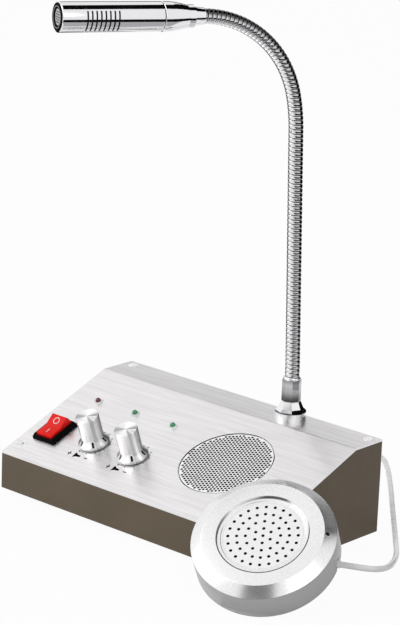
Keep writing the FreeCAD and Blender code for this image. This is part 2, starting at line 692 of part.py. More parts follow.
def lamps():
    ring_body = lathe("LampRingMaster", [
        ("lamp_radius + lamp_gap", "-lamp_sleeve_depth"), ("lamp_sleeve", "-lamp_sleeve_depth"),
        ("lamp_sleeve", "0"), ("lamp_ring_radius", "0"),
        ("lamp_ring_radius - lamp_ring_height/2", "lamp_ring_height"),
        ("lamp_radius + lamp_gap", "lamp_ring_height")])
    frames = {name: lamp_frame(x) for name, x in LAMPS.items()}
    keep(copies("LampRings", ring_body, list(frames.values())), "lamp_rings")
    for name, frame in frames.items():
        stem = rod("LampStem", "lamp_radius", "lamp_body",
                   at(z=size("lamp_stand") - size("lamp_body")))
        dome = solid("Sphere", "LampDome", at(z=size("lamp_stand")), Radius="lamp_radius")
        keep(together("Lamp", [stem, dome]), "lamp_" + name, frame)


# ---- gooseneck ---------------------------------------------------------------------------

def neck_foot():
    frame = neck_foot_frame()
    bore = "stem_radius + nut_wall_gap"
    keep(lathe("Washer", [(bore, "0"), ("washer_radius", "0"),
                          ("washer_radius", "washer_height"), (bore, "washer_height")]),
         "neck_washer", frame)
    neck_bore = "neck_radius + nut_wall_gap"
    keep(lathe("Stem", [(neck_bore, "-stem_below"), ("stem_radius", "-stem_below"),
                        ("stem_radius", "stem_above"), (neck_bore, "stem_above")]),
         "neck_stem", frame)
    lock = solid("Prism", "LockNutBlank", at(z=-size("plate_thick") - size("lock_nut_thick")),
                 Circumradius="lock_nut_radius", Height="lock_nut_thick")
    lock.Polygon = 6
    lock_bore = rod("LockNutBore", bore, "2*stem_below", at(z=-size("stem_below")))
    keep(less("LockNut", lock, [lock_bore]), "neck_lock_nut", frame)
    keep(octagon_nut(bore, neck_bore), "neck_nut", frame)
    neck_stub(frame)


def octagon_nut(bore, neck_bore):
    """Eight-sided nut: a flared foot the size of the washer and a slim straight upper part."""
    corner = "cos(22.5)"
    low = solid("RegularPolygon", "FlareFoot", at(z=size("washer_height")),
                Circumradius="washer_radius/" + corner)
    mid = solid("RegularPolygon", "FlareMid",
                at(z=(2 * size("washer_height") + size("nut_flare_top")) / 3),
                Circumradius="(0.42*washer_radius + 0.58*nut_radius)/" + corner)
    top = solid("RegularPolygon", "FlareTop", at(z=size("nut_flare_top")),
                Circumradius="nut_radius/" + corner)
    for section in (low, mid, top):
        section.Polygon = 8
    flare = doc.addObject("Part::Loft", "Flare")
    flare.Sections, flare.Solid, flare.Ruled = [low, mid, top], True, True
    upper = solid("Prism", "NutUpper", at(z=size("nut_flare_top")),
                  Circumradius="nut_radius/" + corner, Height="nut_top - nut_flare_top")
    upper.Polygon = 8
    rounded = within("NutRound", together("NutBlock", [flare, upper]),
                     rod("NutLimit", "washer_radius", "nut_top"))
    stem_hole = rod("NutStemBore", bore, "stem_above + nut_wall_gap")
    neck_hole = rod("NutNeckBore", neck_bore, "2*nut_top")
    return less("Nut", rounded, [stem_hole, neck_hole])


def neck_stub(frame):
    """Fixed end of the neck, from inside the nut up to the first joint."""
    pivot = size("neck_first_pivot")
    tube = rod("StubTube", "neck_radius", "neck_first_pivot + stem_below",
               at(z=-size("stem_below")))
    collar = rod("StubCollar", "collar_radius", "collar_top - nut_top",
                 at(z=size("nut_top")))
    dome = solid("Sphere", "StubDome", at(z=pivot), Radius="neck_radius")
    keep(together("Stub", [tube, collar, dome]), "neck_stub", frame)


def arc_tube(radius, turn, frame=EMPTY):
    """Quarter-ring piece of neck that leaves along z and bends towards x."""
    way = FreeCAD.Placement(FreeCAD.Vector(size(radius), 0, 0),
                            FreeCAD.Rotation(-X, Z, Y, "XYZ"))
    return solid("Torus", "NeckArc", frame * way, Radius1=radius, Radius2="neck_radius",
                 Angle3=turn)


def socketed(name, pieces):
    """Neck length with a hollow ball seat cut into its lower end."""
    seat = solid("Sphere", name + "Seat", Radius="neck_radius + neck_gap")
    block = pieces[0] if len(pieces) == 1 else together(name + "Block", pieces)
    return less(name, block, [seat])


def neck():
    frames = neck_frames()
    dome_up = at(z=size("neck_length"))
    for i in range(3):
        pieces = [rod("NeckRod", "neck_radius", "neck_length"),
                  solid("Sphere", "NeckDome", dome_up, Radius="neck_radius")]
        keep(socketed("NeckLength", pieces), "neck_length_%d" % (i + 1), frames[i])
    bend = at(z=size("neck_last_straight"))
    far = bend * arc_end("neck_wide_radius", "neck_wide_turn")
    pieces = [rod("NeckRod", "neck_radius", "neck_last_straight"),
              arc_tube("neck_wide_radius", "neck_wide_turn", bend),
              solid("Sphere", "NeckDome", far, Radius="neck_radius")]
    keep(socketed("NeckWide", pieces), "neck_length_4", frames[3])
    end = arc_end("neck_tight_radius", "neck_tight_turn")
    pieces = [arc_tube("neck_tight_radius", "neck_tight_turn"),
              solid("Sphere", "NeckDome", end, Radius="neck_radius")]
    keep(socketed("NeckTight", pieces), "neck_length_5", frames[4])
    pieces = [arc_tube("neck_tight_radius", "neck_tight_turn"),
              rod("NeckPlug", "neck_radius", "neck_plug", end)]
    keep(socketed("NeckEnd", pieces), "neck_length_6", frames[5])
    return frames[6]


# ---- microphone head ---------------------------------------------------------------------

# share of the sleeve's length, and the size that is its radius there
SLEEVE_SWELL = ((0, "sleeve_start"), (0.3, "sleeve_waist"), (0.68, "sleeve_shoulder"),
                (1, "head_radius"))


def mic_sleeve(frame):
    """Turned sleeve that swells from the neck to the barrel."""
    body = new_body("MicSleeve")
    sections = []
    for share, radius in SLEEVE_SWELL:
        circle = sketch_on(body, "XY_Plane")
        circle.AttachmentOffset = at(z=share * size("sleeve_length"))
        ring(circle, "0", "0", radius)
        sections.append(circle)
    doc.recompute()
    loft = body.newObject("PartDesign::AdditiveLoft", "Swell")
    loft.Profile, loft.Sections = sections[0], sections[1:]
    bore = rod("SleeveBore", "neck_radius + nut_wall_gap", "neck_plug + nut_wall_gap")
    keep(less("MicSleeveBored", body, [bore]), "mic_sleeve", frame)


def mic_barrel(frame):
    """Slotted tube: sound slots along both sides let the capsule hear past the tip."""
    inner = "head_radius - barrel_wall"
    body = lathe("Barrel", [
        (inner, "barrel_joint"), ("head_radius", "barrel_joint"),
        ("head_radius", "barrel_length"), (inner, "barrel_length")])
    slot = sketch_on(body, "XY_Plane")
    slot.AttachmentOffset = at(z=size("barrel_length") - size("slot_first"))
    reach, half = "2*head_radius", "slot_half_angle"
    outline(slot, [("%s*cos(%s)" % (reach, half), "-%s*sin(%s)" % (reach, half)),
                   ("%s*cos(%s)" % (reach, half), "%s*sin(%s)" % (reach, half)),
                   ("seat_gap/2", "0")])
    outline(slot, [("-%s*cos(%s)" % (reach, half), "%s*sin(%s)" % (reach, half)),
                   ("-%s*cos(%s)" % (reach, half), "-%s*sin(%s)" % (reach, half)),
                   ("-seat_gap/2", "0")])
    cut = pocket(body, slot, "slot_width")
    pattern = body.newObject("PartDesign::LinearPattern", "Slots")
    pattern.Originals = [cut]
    pattern.Direction = (slot, ["N_Axis"])
    pattern.Reversed = True
    pattern.setExpression("Length", bound("slot_pitch*(slot_count - 1)"))
    pattern.setExpression("Occurrences", bound("slot_count"))
    body.Tip = pattern
    keep(body, "mic_barrel", frame * turned(Z, size("slot_turn")))


def mic_tip(frame):
    inner, end = "head_radius - barrel_wall - seat_gap/2", "barrel_length"
    face = end + " + tip_ring_proud"
    keep(lathe("TipRing", [
        ("tip_ring_inner", end + " - tip_ring_depth"), (inner, end + " - tip_ring_depth"),
        (inner, face + " - tip_ring_round"), (inner + " - tip_ring_round", face),
        ("tip_ring_inner + tip_ring_round", face),
        ("tip_ring_inner", face + " - tip_ring_round")]), "mic_tip_ring", frame)
    top = face + " - tip_face_recess"
    blank = rod("TipFaceBlank", "tip_ring_inner - seat_gap/4", "tip_face_thick",
                at(z=size("barrel_length") + size("tip_ring_proud") - size("tip_face_recess")
                   - size("tip_face_thick")))
    field = hole_field("TipHoles", size("tip_ring_inner") - 2 * size("tip_hole"),
                       size("tip_pitch"), size("tip_hole"), size("barrel_length") / 2,
                       2 * size("barrel_length"))
    keep(less("TipFace", blank, [field]), "mic_tip_grille", frame)
    below = top + " - tip_face_thick"
    keep(lathe("Capsule", [
        ("0", below + " - capsule_depth"), ("capsule_radius", below + " - capsule_depth"),
        ("capsule_radius", below), ("0", below)]), "mic_capsule", frame)


# ---- customer's station ------------------------------------------------------------------

BEVEL_TEXT = "atan(station_bevel/(station_radius - station_face_radius))"


def bevel_inside(depth):
    """Radius of the bevel's inner side at a depth below the face."""
    return "station_face_radius + ((%s)*cos(%s) - station_wall)/sin(%s)" % (
        depth, BEVEL_TEXT, BEVEL_TEXT)


def bevel_normal():
    angle = math.atan2(size("station_bevel"), size("station_radius") - size("station_face_radius"))
    return math.degrees(angle)


def pin_hole_frame():
    """On the bevel, z outwards along its normal."""
    run = size("pin_hole_at") - size("station_face_radius")
    depth = run * math.tan(math.radians(bevel_normal()))
    return (turned(Z, size("pin_hole_angle")) * at(size("pin_hole_at"), 0, -depth)
            * turned(Y, bevel_normal()))


def station():
    frame = station_frame()
    rim = lathe("StationRim", [
        ("dish_radius", "-station_wall"), ("dish_radius", "0"), ("station_face_radius", "0"),
        ("station_radius", "-station_bevel"), (bevel_inside("station_bevel"), "-station_bevel"),
        (bevel_inside("station_wall"), "-station_wall")])
    hole = rod("PinHole", "pin_hole_radius", "4*station_wall",
               pin_hole_frame() * at(z=-2 * size("station_wall")))
    keep(less("StationRimDrilled", rim, [hole]), "station_rim", frame)
    capsule_z = -size("station_wall") - size("station_mic_gap") - size("station_mic_depth")
    keep(rod("StationMic", "station_mic_radius", "station_mic_depth"), "station_mic",
         frame * pin_hole_frame() * at(z=capsule_z))
    station_grille(frame)
    station_back(frame)


def station_grille(frame):
    """Dished disc behind the rim: a groove round it, and rings of holes about its middle."""
    edge, flange = "dish_radius - dish_gap", "dish_radius + dish_flange"
    body = lathe("StationGrille", [
        ("0", "-dish_depth"), ("dish_inner - dish_groove + dish_depth", "-dish_depth"),
        ("dish_inner", "-dish_groove"), (edge, "-dish_groove + dish_gap"),
        (edge, "-station_wall"), (flange, "-station_wall"),
        (flange, "-station_wall - dish_groove"), ("0", "-station_wall - dish_groove")])
    hollow = sketch_on(body, "XY_Plane")
    hollow.AttachmentOffset = at(z=-size("station_wall") - size("dish_groove"))
    ring(hollow, "0", "0", "driver_radius - driver_lip")
    pocket(body, hollow, "station_wall + dish_groove - dish_depth - dish_thick", upwards=True)
    for number, count in enumerate(DISH_RINGS, start=1):
        start = sketch_on(body, "XY_Plane")
        start.AttachmentOffset = turned(Z, size("dish_turn"))
        ring(start, "0", "%d*dish_ring_pitch" % number, "dish_hole")
        cut = pocket(body, start)
        pattern = body.newObject("PartDesign::PolarPattern", "HoleRing")
        pattern.Originals = [cut]
        pattern.Axis = (start, ["N_Axis"])
        pattern.Angle = 360.0
        pattern.setExpression("Occurrences", bound(count))
        body.Tip = pattern
    middle = sketch_on(body, "XY_Plane")
    ring(middle, "0", "0", "dish_hole")
    pocket(body, middle)
    keep(body, "station_grille", frame)
    seat = "-station_wall - dish_groove"
    keep(lathe("Driver", [
        ("0", seat + " - driver_depth - driver_magnet_depth"),
        ("driver_magnet", seat + " - driver_depth - driver_magnet_depth"),
        ("driver_magnet", seat + " - driver_depth"), ("driver_radius", seat + " - driver_lip"),
        ("driver_radius", seat), ("driver_radius - driver_lip", seat),
        ("driver_magnet/2", seat + " - driver_lip"), ("0", seat + " - driver_lip/2")]),
        "station_driver", frame)


def notch_frame():
    """In the side wall where the cord comes out: x outwards, z towards the face."""
    return turned(Z, size("notch_angle")) * at(
        size("station_radius"), 0, -size("station_depth"))


def station_back(frame):
    inner, floor = "station_radius - station_wall", "-station_depth + station_wall"
    cup = lathe("StationCup", [
        ("0", "-station_depth"), ("station_radius", "-station_depth"),
        ("station_radius", "-station_bevel"), (inner, "-station_bevel"), (inner, floor),
        ("0", floor)])
    cut = prism("StationNotch", box_corners("gland_inward + station_wall", "notch_width/2"),
                "notch_depth")
    cut.Placement = notch_frame()
    keep(less("StationCupNotched", cup, [cut]), "station_cup", frame)
    block = prism("GlandBlock", [
        ("-gland_inward - station_wall", "-notch_width/2 + gland_gap"),
        ("gland_proud", "-notch_width/2 + gland_gap"),
        ("gland_proud", "notch_width/2 - gland_gap"),
        ("-gland_inward - station_wall", "notch_width/2 - gland_gap")],
        "notch_depth - gland_gap")
    middle = size("notch_depth") / 2
    bore = rod("GlandBore", "cord_radius + gland_gap", "4*station_wall + 4*gland_inward",
               at(-2 * (size("station_wall") + size("gland_inward")), 0, middle)
               * turned(Y, 90))
    keep(less("Gland", block, [bore]), "station_gland", frame * notch_frame())
    keep(rod("StationPad", "station_pad_radius", "station_pad_thick"), "station_pad",
         frame * at(z=-size("station_depth") - size("station_pad_thick")))


# ---- circuit board and sockets -----------------------------------------------------------

def board():
    base = case_frame() * at(z=size("cover_thick") + size("standoff_height"))
    right, back = BOARD_LEFT + " + board_width", BOARD_FRONT + " + board_depth"
    keep(prism("Board", [(BOARD_LEFT, BOARD_FRONT), (right, BOARD_FRONT), (right, back),
                         (BOARD_LEFT, back)], "board_thick"), "main_board", base)
    front = size("case_depth") / 2 - size("board_from_rear") - size("board_depth")
    top = base * at(left_side("board_from_side"), front, size("board_thick"))
    chip = prism("Chip", box_corners("chip_width/2", "chip_thick/2"), "chip_height")
    keep(chip, "amplifier_chip", top * at(size("chip_across"), size("chip_along")))
    can = rod("CanMaster", "can_radius", "can_height")
    spots = [at(size("can_across"), size("can_along") - i * size("can_pitch"))
             for i in range(3)]
    keep(copies("Cans", can, [top * spot for spot in spots]), "capacitors")


def jack_socket(name, label):
    """Round socket for a small audio plug: block on the board, collar through the wall."""
    frame = rear_frame(name)
    block = prism("SocketBlock", box_corners("socket_size/2", "socket_size/2"),
                  "socket_length", below=True)
    block.Placement = at(z=-size("case_wall"))
    collar = rod("SocketCollar", "socket_bushing", "case_wall + socket_proud",
                 at(z=-size("case_wall")))
    bore = rod("SocketBore", "socket_bore", "socket_bore_depth",
               at(z=size("socket_proud") - size("socket_bore_depth")))
    keep(less("Socket", together("SocketBody", [block, collar]), [bore]), label, frame)
    return frame


def socket_nuts(frames):
    nut = solid("Prism", "SocketNutBlank", Circumradius="socket_nut_radius",
                Height="socket_nut_thick")
    nut.Polygon = 6
    bored = less("SocketNutMaster", nut, [rod("SocketNutBore", "socket_bushing + shaft_gap",
                                              "socket_nut_thick")])
    keep(copies("SocketNuts", bored, frames), "socket_nuts")


def power_socket():
    frame = rear_frame("power_socket_in")
    block = prism("PowerBlock", box_corners("socket_size/2", "socket_size/2"),
                  "socket_length", below=True)
    block.Placement = at(z=-size("case_wall"))
    collar = rod("PowerCollar", "power_rim - power_rim_proud", "case_wall",
                 at(z=-size("case_wall")))
    rim = rod("PowerRim", "power_rim", "power_rim_proud")
    bore = rod("PowerBore", "power_bore", "power_bore_depth + power_rim_proud",
               at(z=-size("power_bore_depth")))
    shell = less("PowerShell", together("PowerBody", [block, collar, rim]), [bore])
    pin = rod("PowerPin", "power_pin", "power_bore_depth + power_pin",
              at(z=-size("power_bore_depth") - size("power_pin")))
    keep(together("PowerSocket", [shell, pin]), "power_socket", frame)


# ---- cord --------------------------------------------------------------------------------

def rounded_path(points):
    """Straight runs joined by tangent arcs, each as large as its two runs allow."""
    share, start, edges, radii = 0.45, points[0], [], []
    for before, here, after in zip(points, points[1:], points[2:]):
        into, out = here - before, after - here
        trim = share * min(into.Length, out.Length)
        half = into.getAngle(out) / 2
        radius = trim / math.tan(half)
        into.normalize()
        out.normalize()
        first, last = here - into * trim, here + out * trim
        inward = out - into
        inward.normalize()
        middle = here + inward * (radius / math.cos(half) - radius)
        edges += [Part.LineSegment(start, first).toShape(),
                  Part.Arc(first, middle, last).toShape()]
        start = last
        radii.append(radius)
    edges.append(Part.LineSegment(start, points[-1]).toShape())
    return Part.Wire(edges), radii


def cord_tube(name, label, points):
    path, radii = rounded_path(points)
    way = points[1] - points[0]
    section = Part.Wire(Part.Circle(points[0], way, size("cord_radius")).toShape())
    feature = doc.addObject("Part::Feature", name)
    feature.Shape = path.makePipeShell([section], True, False)
    area = math.pi * size("cord_radius") ** 2
    print("%s: length %.1f mm, arc radii %s, volume %.1f of %.1f" % (
        label, path.Length, ["%.1f" % r for r in radii], feature.Shape.Volume,
        area * path.Length))
    keep(feature, label)


def station_cord():
    gland = station_frame() * notch_frame() * at(0, 0, size("notch_depth") / 2)
    lead = [gland.multVec(FreeCAD.Vector(x, 0, 0))
            for x in (-size("gland_inward"), size("cord_lead"))]
    cord_tube("CordTube", "station_cord", lead + [FreeCAD.Vector(*p) for p in CORD_ROUTE])
    keep(solid("Torus", "Coil", Radius1="coil_radius", Radius2="coil_section"), "cord_coil",
         at(size("coil_x"), size("coil_y"), size("coil_section")))
    socket = rear_frame("station_socket_in") * at(z=size("socket_proud"))
    keep(lathe("Plug", [
        ("0", "-plug_tip_length"), ("plug_tip*3/5", "-plug_tip_length"),
        ("plug_tip", "-plug_tip_length + plug_tip"), ("plug_tip", "0"), ("plug_radius", "0"),
        ("plug_radius", "plug_length"), ("plug_neck", "plug_length + plug_neck_length"),
        ("0", "plug_length + plug_neck_length")]), "cord_plug", socket)
    end = size("plug_length") + size("plug_neck_length")
    lead = [socket.multVec(FreeCAD.Vector(0, 0, z)) for z in (end, end + size("tail_lead"))]
    cord_tube("TailTube", "cord_tail", lead + [FreeCAD.Vector(*p) for p in TAIL_ROUTE])


# ---- build, check and write --------------------------------------------------------------

def build():
    fill_sheet()
    hole = fasteners()
    case_shell(hole)
    bottom_cover(hole)
    feet()
    face_plate(hole)
    loudspeaker()
    pot_nuts([rotary_control(side) for side in KNOBS])
    rocker_switch()
    lamps()
    neck_foot()
    head = neck()
    mic_sleeve(head)
    barrel = head * at(z=size("sleeve_length"))
    mic_barrel(barrel)
    mic_tip(barrel)
    station()
    board()
    socket_nuts([jack_socket("station_socket_in", "station_socket"),
                 jack_socket("record_socket_in", "record_socket")])
    power_socket()
    station_cord()
    doc.recompute()


def check():
    for thing in doc.Objects:
        if "Invalid" in thing.State or "Error" in thing.State:
            raise RuntimeError("%s failed to recompute" % thing.Label)
    empty = [piece.Label for piece in parts if piece.Shape.isNull()
             or not piece.Shape.isValid() or piece.Shape.Volume <= 0]
    if empty:
        raise RuntimeError("no valid shape: %s" % ", ".join(empty))


def write():
    os.makedirs("parts", exist_ok=True)
    for piece in parts:
        piece.Shape.exportStep("parts/%s.step" % piece.Label)


def report():
    for piece in parts:
        box = piece.Shape.BoundBox
        print("%-18s %2d solids  %10.1f mm3  x %7.1f %7.1f  y %7.1f %7.1f  z %7.1f %7.1f" % (
            piece.Label, len(piece.Shape.Solids), piece.Shape.Volume, box.XMin, box.XMax,
            box.YMin, box.YMax, box.ZMin, box.ZMax))


build()
check()
write()
report()
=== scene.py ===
import math

import bmesh
import bpy
from mathutils import Matrix, Vector


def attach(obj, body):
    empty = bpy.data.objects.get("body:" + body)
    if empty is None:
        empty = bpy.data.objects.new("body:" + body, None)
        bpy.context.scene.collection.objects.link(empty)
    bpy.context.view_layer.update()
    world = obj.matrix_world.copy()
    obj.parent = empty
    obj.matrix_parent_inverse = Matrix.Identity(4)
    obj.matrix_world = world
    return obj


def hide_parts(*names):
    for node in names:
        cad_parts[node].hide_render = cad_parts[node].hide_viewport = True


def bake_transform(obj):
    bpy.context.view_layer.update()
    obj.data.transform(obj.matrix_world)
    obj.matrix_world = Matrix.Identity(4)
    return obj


# The looks of the teller window intercom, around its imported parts. Sizes are in millimetres and
# are turned into metres where a mesh is placed. X runs to the right of the case, Y to its back.

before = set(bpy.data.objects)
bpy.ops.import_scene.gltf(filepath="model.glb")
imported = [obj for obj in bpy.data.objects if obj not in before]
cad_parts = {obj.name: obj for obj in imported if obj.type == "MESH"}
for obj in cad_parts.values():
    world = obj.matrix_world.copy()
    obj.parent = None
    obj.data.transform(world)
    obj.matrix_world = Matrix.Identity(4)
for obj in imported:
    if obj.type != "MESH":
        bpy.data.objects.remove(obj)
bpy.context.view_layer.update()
MM = 0.001

# ---- sizes shared by several pieces

FOOT_HEIGHT, FRONT_HEIGHT, REAR_HEIGHT = 3.5, 20.7, 51.0
CASE_DEPTH, FLAT_DEPTH = 100.0, 21.9
SLOPE = math.degrees(math.atan2(REAR_HEIGHT - FRONT_HEIGHT, CASE_DEPTH - FLAT_DEPTH))
SOCKET_HEIGHT, CASE_WIDTH = 14.1, 180.0
KNOBS = {"left": -46.05, "right": -17.55}
KNOB_S = 27.75
SWITCH_X, SWITCH_S = -74.3, 26.2
ROCKER_TILT, ROCKER_PIVOT = 12.0, 1.0
GRILLE_X, GRILLE_S = 33.75, 44.786
SCREW_X, INK = 84.2, 0.03
NECK_X, NECK_Y, NECK_PIVOT = 34.4, 41.3, 29.0
NECK_YAW, NECK_LEAN = -115.3, 2.22
NECK_RADIUS, NECK_PITCH = 3.9, 2.4
NECK_LENGTH, NECK_LAST = 36.35, 18.6
WIDE_RADIUS, WIDE_TURN = 100.0, 10.3
TIGHT_RADIUS, TIGHT_TURN = 54.5, 38.0
STATION_RADIUS, STATION_FACE, STATION_BEVEL = 36.4, 30.6, 3.7
STATION_DEPTH, STATION_PAD, PAD_RADIUS = 18.3, 1.0, 35.6
PIN_HOLE_AT, PIN_HOLE_TURN, DISH_TURN = 32.0, 12.6, 12.3
STATION_LEAN, STATION_YAW, STATION_ASIDE, LEAN_GAP = 33.99, 21.19, 10.34, 0.3


# ---- places

def place(x=0.0, y=0.0, z=0.0):
    return Matrix.Translation(Vector((x, y, z)) * MM)


def turn(angle, axis):
    return Matrix.Rotation(math.radians(angle), 4, axis)


CASE = place(z=FOOT_HEIGHT)


def on_slope(x, s):
    """x across the sloping face, s up it from the front edge, z outwards."""
    return CASE @ place(0, -CASE_DEPTH / 2, FRONT_HEIGHT) @ turn(SLOPE, "X") @ place(x, s)


def on_flat(x, y):
    return CASE @ place(x, y, REAR_HEIGHT)


def on_rear(x):
    return CASE @ place(x, CASE_DEPTH / 2, SOCKET_HEIGHT) @ turn(-90, "X")


def on_station():
    """Middle of the station's face, z outwards: its foot stands on the table and its back
    leans on the front right corner of the case."""
    corner = Vector((CASE_WIDTH / 2, -CASE_DEPTH / 2, FOOT_HEIGHT + FRONT_HEIGHT))
    lean = math.radians(STATION_LEAN)
    way = turn(STATION_YAW, "Z") @ turn(STATION_LEAN, "X")
    reach = PAD_RADIUS - (corner.z + LEAN_GAP * math.cos(lean)) / math.sin(lean)
    offset = way @ Vector((STATION_ASIDE, reach, STATION_DEPTH + STATION_PAD + LEAN_GAP))
    return place(*(corner + offset)) @ way


def arc_end(radius, angle):
    a = math.radians(angle)
    return place(radius * (1 - math.cos(a)), 0, radius * math.sin(a)) @ turn(angle, "Y")


NECK_FIRST = (on_flat(NECK_X, NECK_Y) @ place(z=NECK_PIVOT) @ turn(NECK_YAW, "Z")
              @ turn(NECK_LEAN, "Y"))


def neck_frames():
    """Start of each neck length and of the head: z along the neck, x to the side it bends to."""
    frames = [NECK_FIRST @ place(z=NECK_LENGTH * i) for i in range(4)]
    frames.append(frames[3] @ place(z=NECK_LAST) @ arc_end(WIDE_RADIUS, WIDE_TURN))
    for _ in range(2):
        frames.append(frames[-1] @ arc_end(TIGHT_RADIUS, TIGHT_TURN))
    return frames


# ---- finishes

def linear(rgb):
    """0 to 255 colour as a paint chart gives it, made linear."""
    return tuple(((c / 255 + 0.055) / 1.055) ** 2.4 if c > 10 else c / 255 / 12.92 for c in rgb)


class Nodes:
    """A node tree that is filled by code."""

    def __init__(self, tree):
        self.tree = tree

    def plug(self, value, socket):
        """Links the socket where the value is one, and sets it otherwise."""
        if isinstance(value, bpy.types.NodeSocket):
            self.tree.links.new(value, socket)
        else:
            socket.default_value = value

    def node(self, kind, *firsts, **values):
        """A new node with its first inputs in order, its settings, and inputs by their names,
        which start with a capital."""
        made = self.tree.nodes.new(kind if "Node" in kind else "ShaderNode" + kind)
        for key, value in values.items():
            if key[0].isupper():
                self.plug(value, made.inputs[key.replace("_", " ")])
            else:
                setattr(made, key, value)
        for index, value in enumerate(firsts):
            self.plug(value, made.inputs[index])
        return made


class Finish(Nodes):
    """A material and the few kinds of surface detail that the finishes here are built from."""

    def __init__(self, name, rgb, rough, metal=0.0, **sockets):
        self.material = bpy.data.materials.new(name)
        self.material.use_nodes = True
        super().__init__(self.material.node_tree)
        self.shader = self.tree.nodes["Principled BSDF"]
        self.rgb, self.bumped = linear(rgb), None
        self.set("Base Color", self.rgb + (1.0,))
        self.set("Roughness", rough)
        self.set("Metallic", metal)
        for socket, value in sockets.items():
            self.set(socket.replace("_", " "), value)

    def set(self, socket, value):
        self.plug(value, self.shader.inputs[socket])

    def noise(self, scale, detail=3.0, stretch=(1, 1, 1)):
        where = self.node("TexCoord").outputs["Object"]
        mapped = self.node("Mapping", Vector=where, Scale=stretch).outputs["Vector"]
        return self.node("TexNoise", Vector=mapped, Scale=scale, Detail=detail).outputs["Fac"]

    def span(self, fac, low, high, start=0.3, stop=0.7):
        return self.node("MapRange", Value=fac, From_Min=start, From_Max=stop, To_Min=low,
                         To_Max=high).outputs["Result"]

    def tint(self, fac, dark, light):
        """Colour that wanders between two shades of the finish."""
        mix = self.node("Mix", data_type="RGBA", Factor=self.span(fac, 0.0, 1.0),
                        A=tuple(c * dark for c in self.rgb) + (1.0,),
                        B=tuple(min(1.0, c * light) for c in self.rgb) + (1.0,))
        self.set("Base Color", mix.outputs["Result"])

    def sheen_wander(self, fac, low, high):
        self.set("Roughness", self.span(fac, low, high))

    def bump(self, fac, depth):
        """Relief of a depth in millimetres; several are laid over each other."""
        made = self.node("Bump", Strength=1.0, Distance=depth * MM, Height=fac)
        if self.bumped:
            self.plug(self.bumped, made.inputs["Normal"])
        self.bumped = made.outputs["Normal"]
        self.set("Normal", self.bumped)


def brushed(name, rgb, rough, along="X", contrast=0.07, relief=0.006):
    """Metal with fine lines along one direction."""
    made = Finish(name, rgb, rough, 1.0)
    lines = {"X": (0.05, 1, 1), "Z": (1, 1, 0.05)}[along]
    coarse = made.noise(650.0, 4.0, lines)
    fine = made.noise(2600.0, 2.0, lines)
    made.tint(coarse, 1.0 - contrast, 1.0 + contrast)
    made.sheen_wander(fine, rough - 0.06, rough + 0.08)
    made.bump(coarse, relief)
    made.bump(fine, relief / 2)
    return made


def spun(name, rgb, rough, anisotropy=0.7):
    """Turned metal whose lines run round the piece, read from its own map."""
    made = Finish(name, rgb, rough, 1.0, Anisotropic=anisotropy, Anisotropic_Rotation=0.25)
    tangent = made.node("Tangent", direction_type="UV_MAP", uv_map="Round")
    made.set("Tangent", tangent.outputs["Tangent"])
    made.tint(made.noise(900.0, 3.0), 0.96, 1.04)
    return made


def painted_shade_over(made, share, stops):
    """Painted shade and painted reflection, as (share, shade), that multiply the finish's colour.
    """
    ramp = made.node("ValToRGB", Fac=share)
    marks = ramp.color_ramp.elements
    for k, (spot, shade) in enumerate(stops):
        mark = marks[k] if k < 2 else marks.new(spot)
        mark.position, mark.color = spot, (shade, shade, shade, 1)
    colour = made.shader.inputs["Base Color"].links[0].from_socket
    mix = made.node("Mix", data_type="RGBA", blend_type="MULTIPLY", Factor=1.0, A=colour,
                    B=ramp.outputs["Color"])
    made.set("Base Color", mix.outputs["Result"])
    return made


def painted_shade_by_height(made, stops):
    """Painted shade and painted reflection that change with height, given in millimetres."""
    low, high = stops[0][0] * MM, stops[1][0] * MM
    part = made.node("SeparateXYZ", made.node("NewGeometry").outputs["Position"])
    share = made.span(part.outputs["Z"], 0.0, 1.0, low, high)
    return painted_shade_over(made, share, [((height * MM - low) / (high - low), shade)
                                   for height, shade in stops])


def painted_bands_round(made, stops):
    """Painted shade and painted reflection round a turned piece, by the part of the turn in its
    own map.
    """
    part = made.node("SeparateXYZ", made.node("UVMap", uv_map="Round").outputs["UV"])
    return painted_shade_over(made, part.outputs["X"], stops)


def wound(made, stops):
    """Painted shade and painted reflection round the gooseneck, by the angle in degrees that its
    winding keeps.
    """
    ring = made.node("Attribute", attribute_name="Ring").outputs["Vector"]
    part = made.node("SeparateXYZ", ring).outputs
    angle = made.node("Math", part["Y"], part["X"], operation="ARCTAN2").outputs[0]
    share = made.span(angle, 0.0, 1.0, -math.pi, math.pi)
    return painted_shade_over(made, share, [(0.5 + turned / 360, shade) for turned, shade in stops])


def painted(name, rgb, rough, relief=0.012, shade=0.06, grain=700.0):
    made = Finish(name, rgb, rough)
    made.tint(made.noise(35.0, 3.0), 1.0 - shade, 1.0 + shade)
    made.sheen_wander(made.noise(grain / 3, 2.0), rough - 0.04, rough + 0.05)
    made.bump(made.noise(grain, 3.0), relief)
    return made


def polished(name, rgb, rough=0.045):
    """Bright plating with faint haze and hairlines."""
    made = Finish(name, rgb, rough, 1.0)
    made.sheen_wander(made.noise(120.0, 4.0), rough * 0.6, rough * 1.7)
    made.tint(made.noise(60.0, 2.0), 0.975, 1.02)
    return made


def moulded(name, rgb, rough, grain=1400.0, relief=0.004, **sockets):
    made = Finish(name, rgb, rough, **sockets)
    made.tint(made.noise(180.0, 2.0), 0.93, 1.06)
    made.sheen_wander(made.noise(420.0, 2.0), rough * 0.85, rough * 1.15)
    made.bump(made.noise(grain, 2.0), relief)
    return made


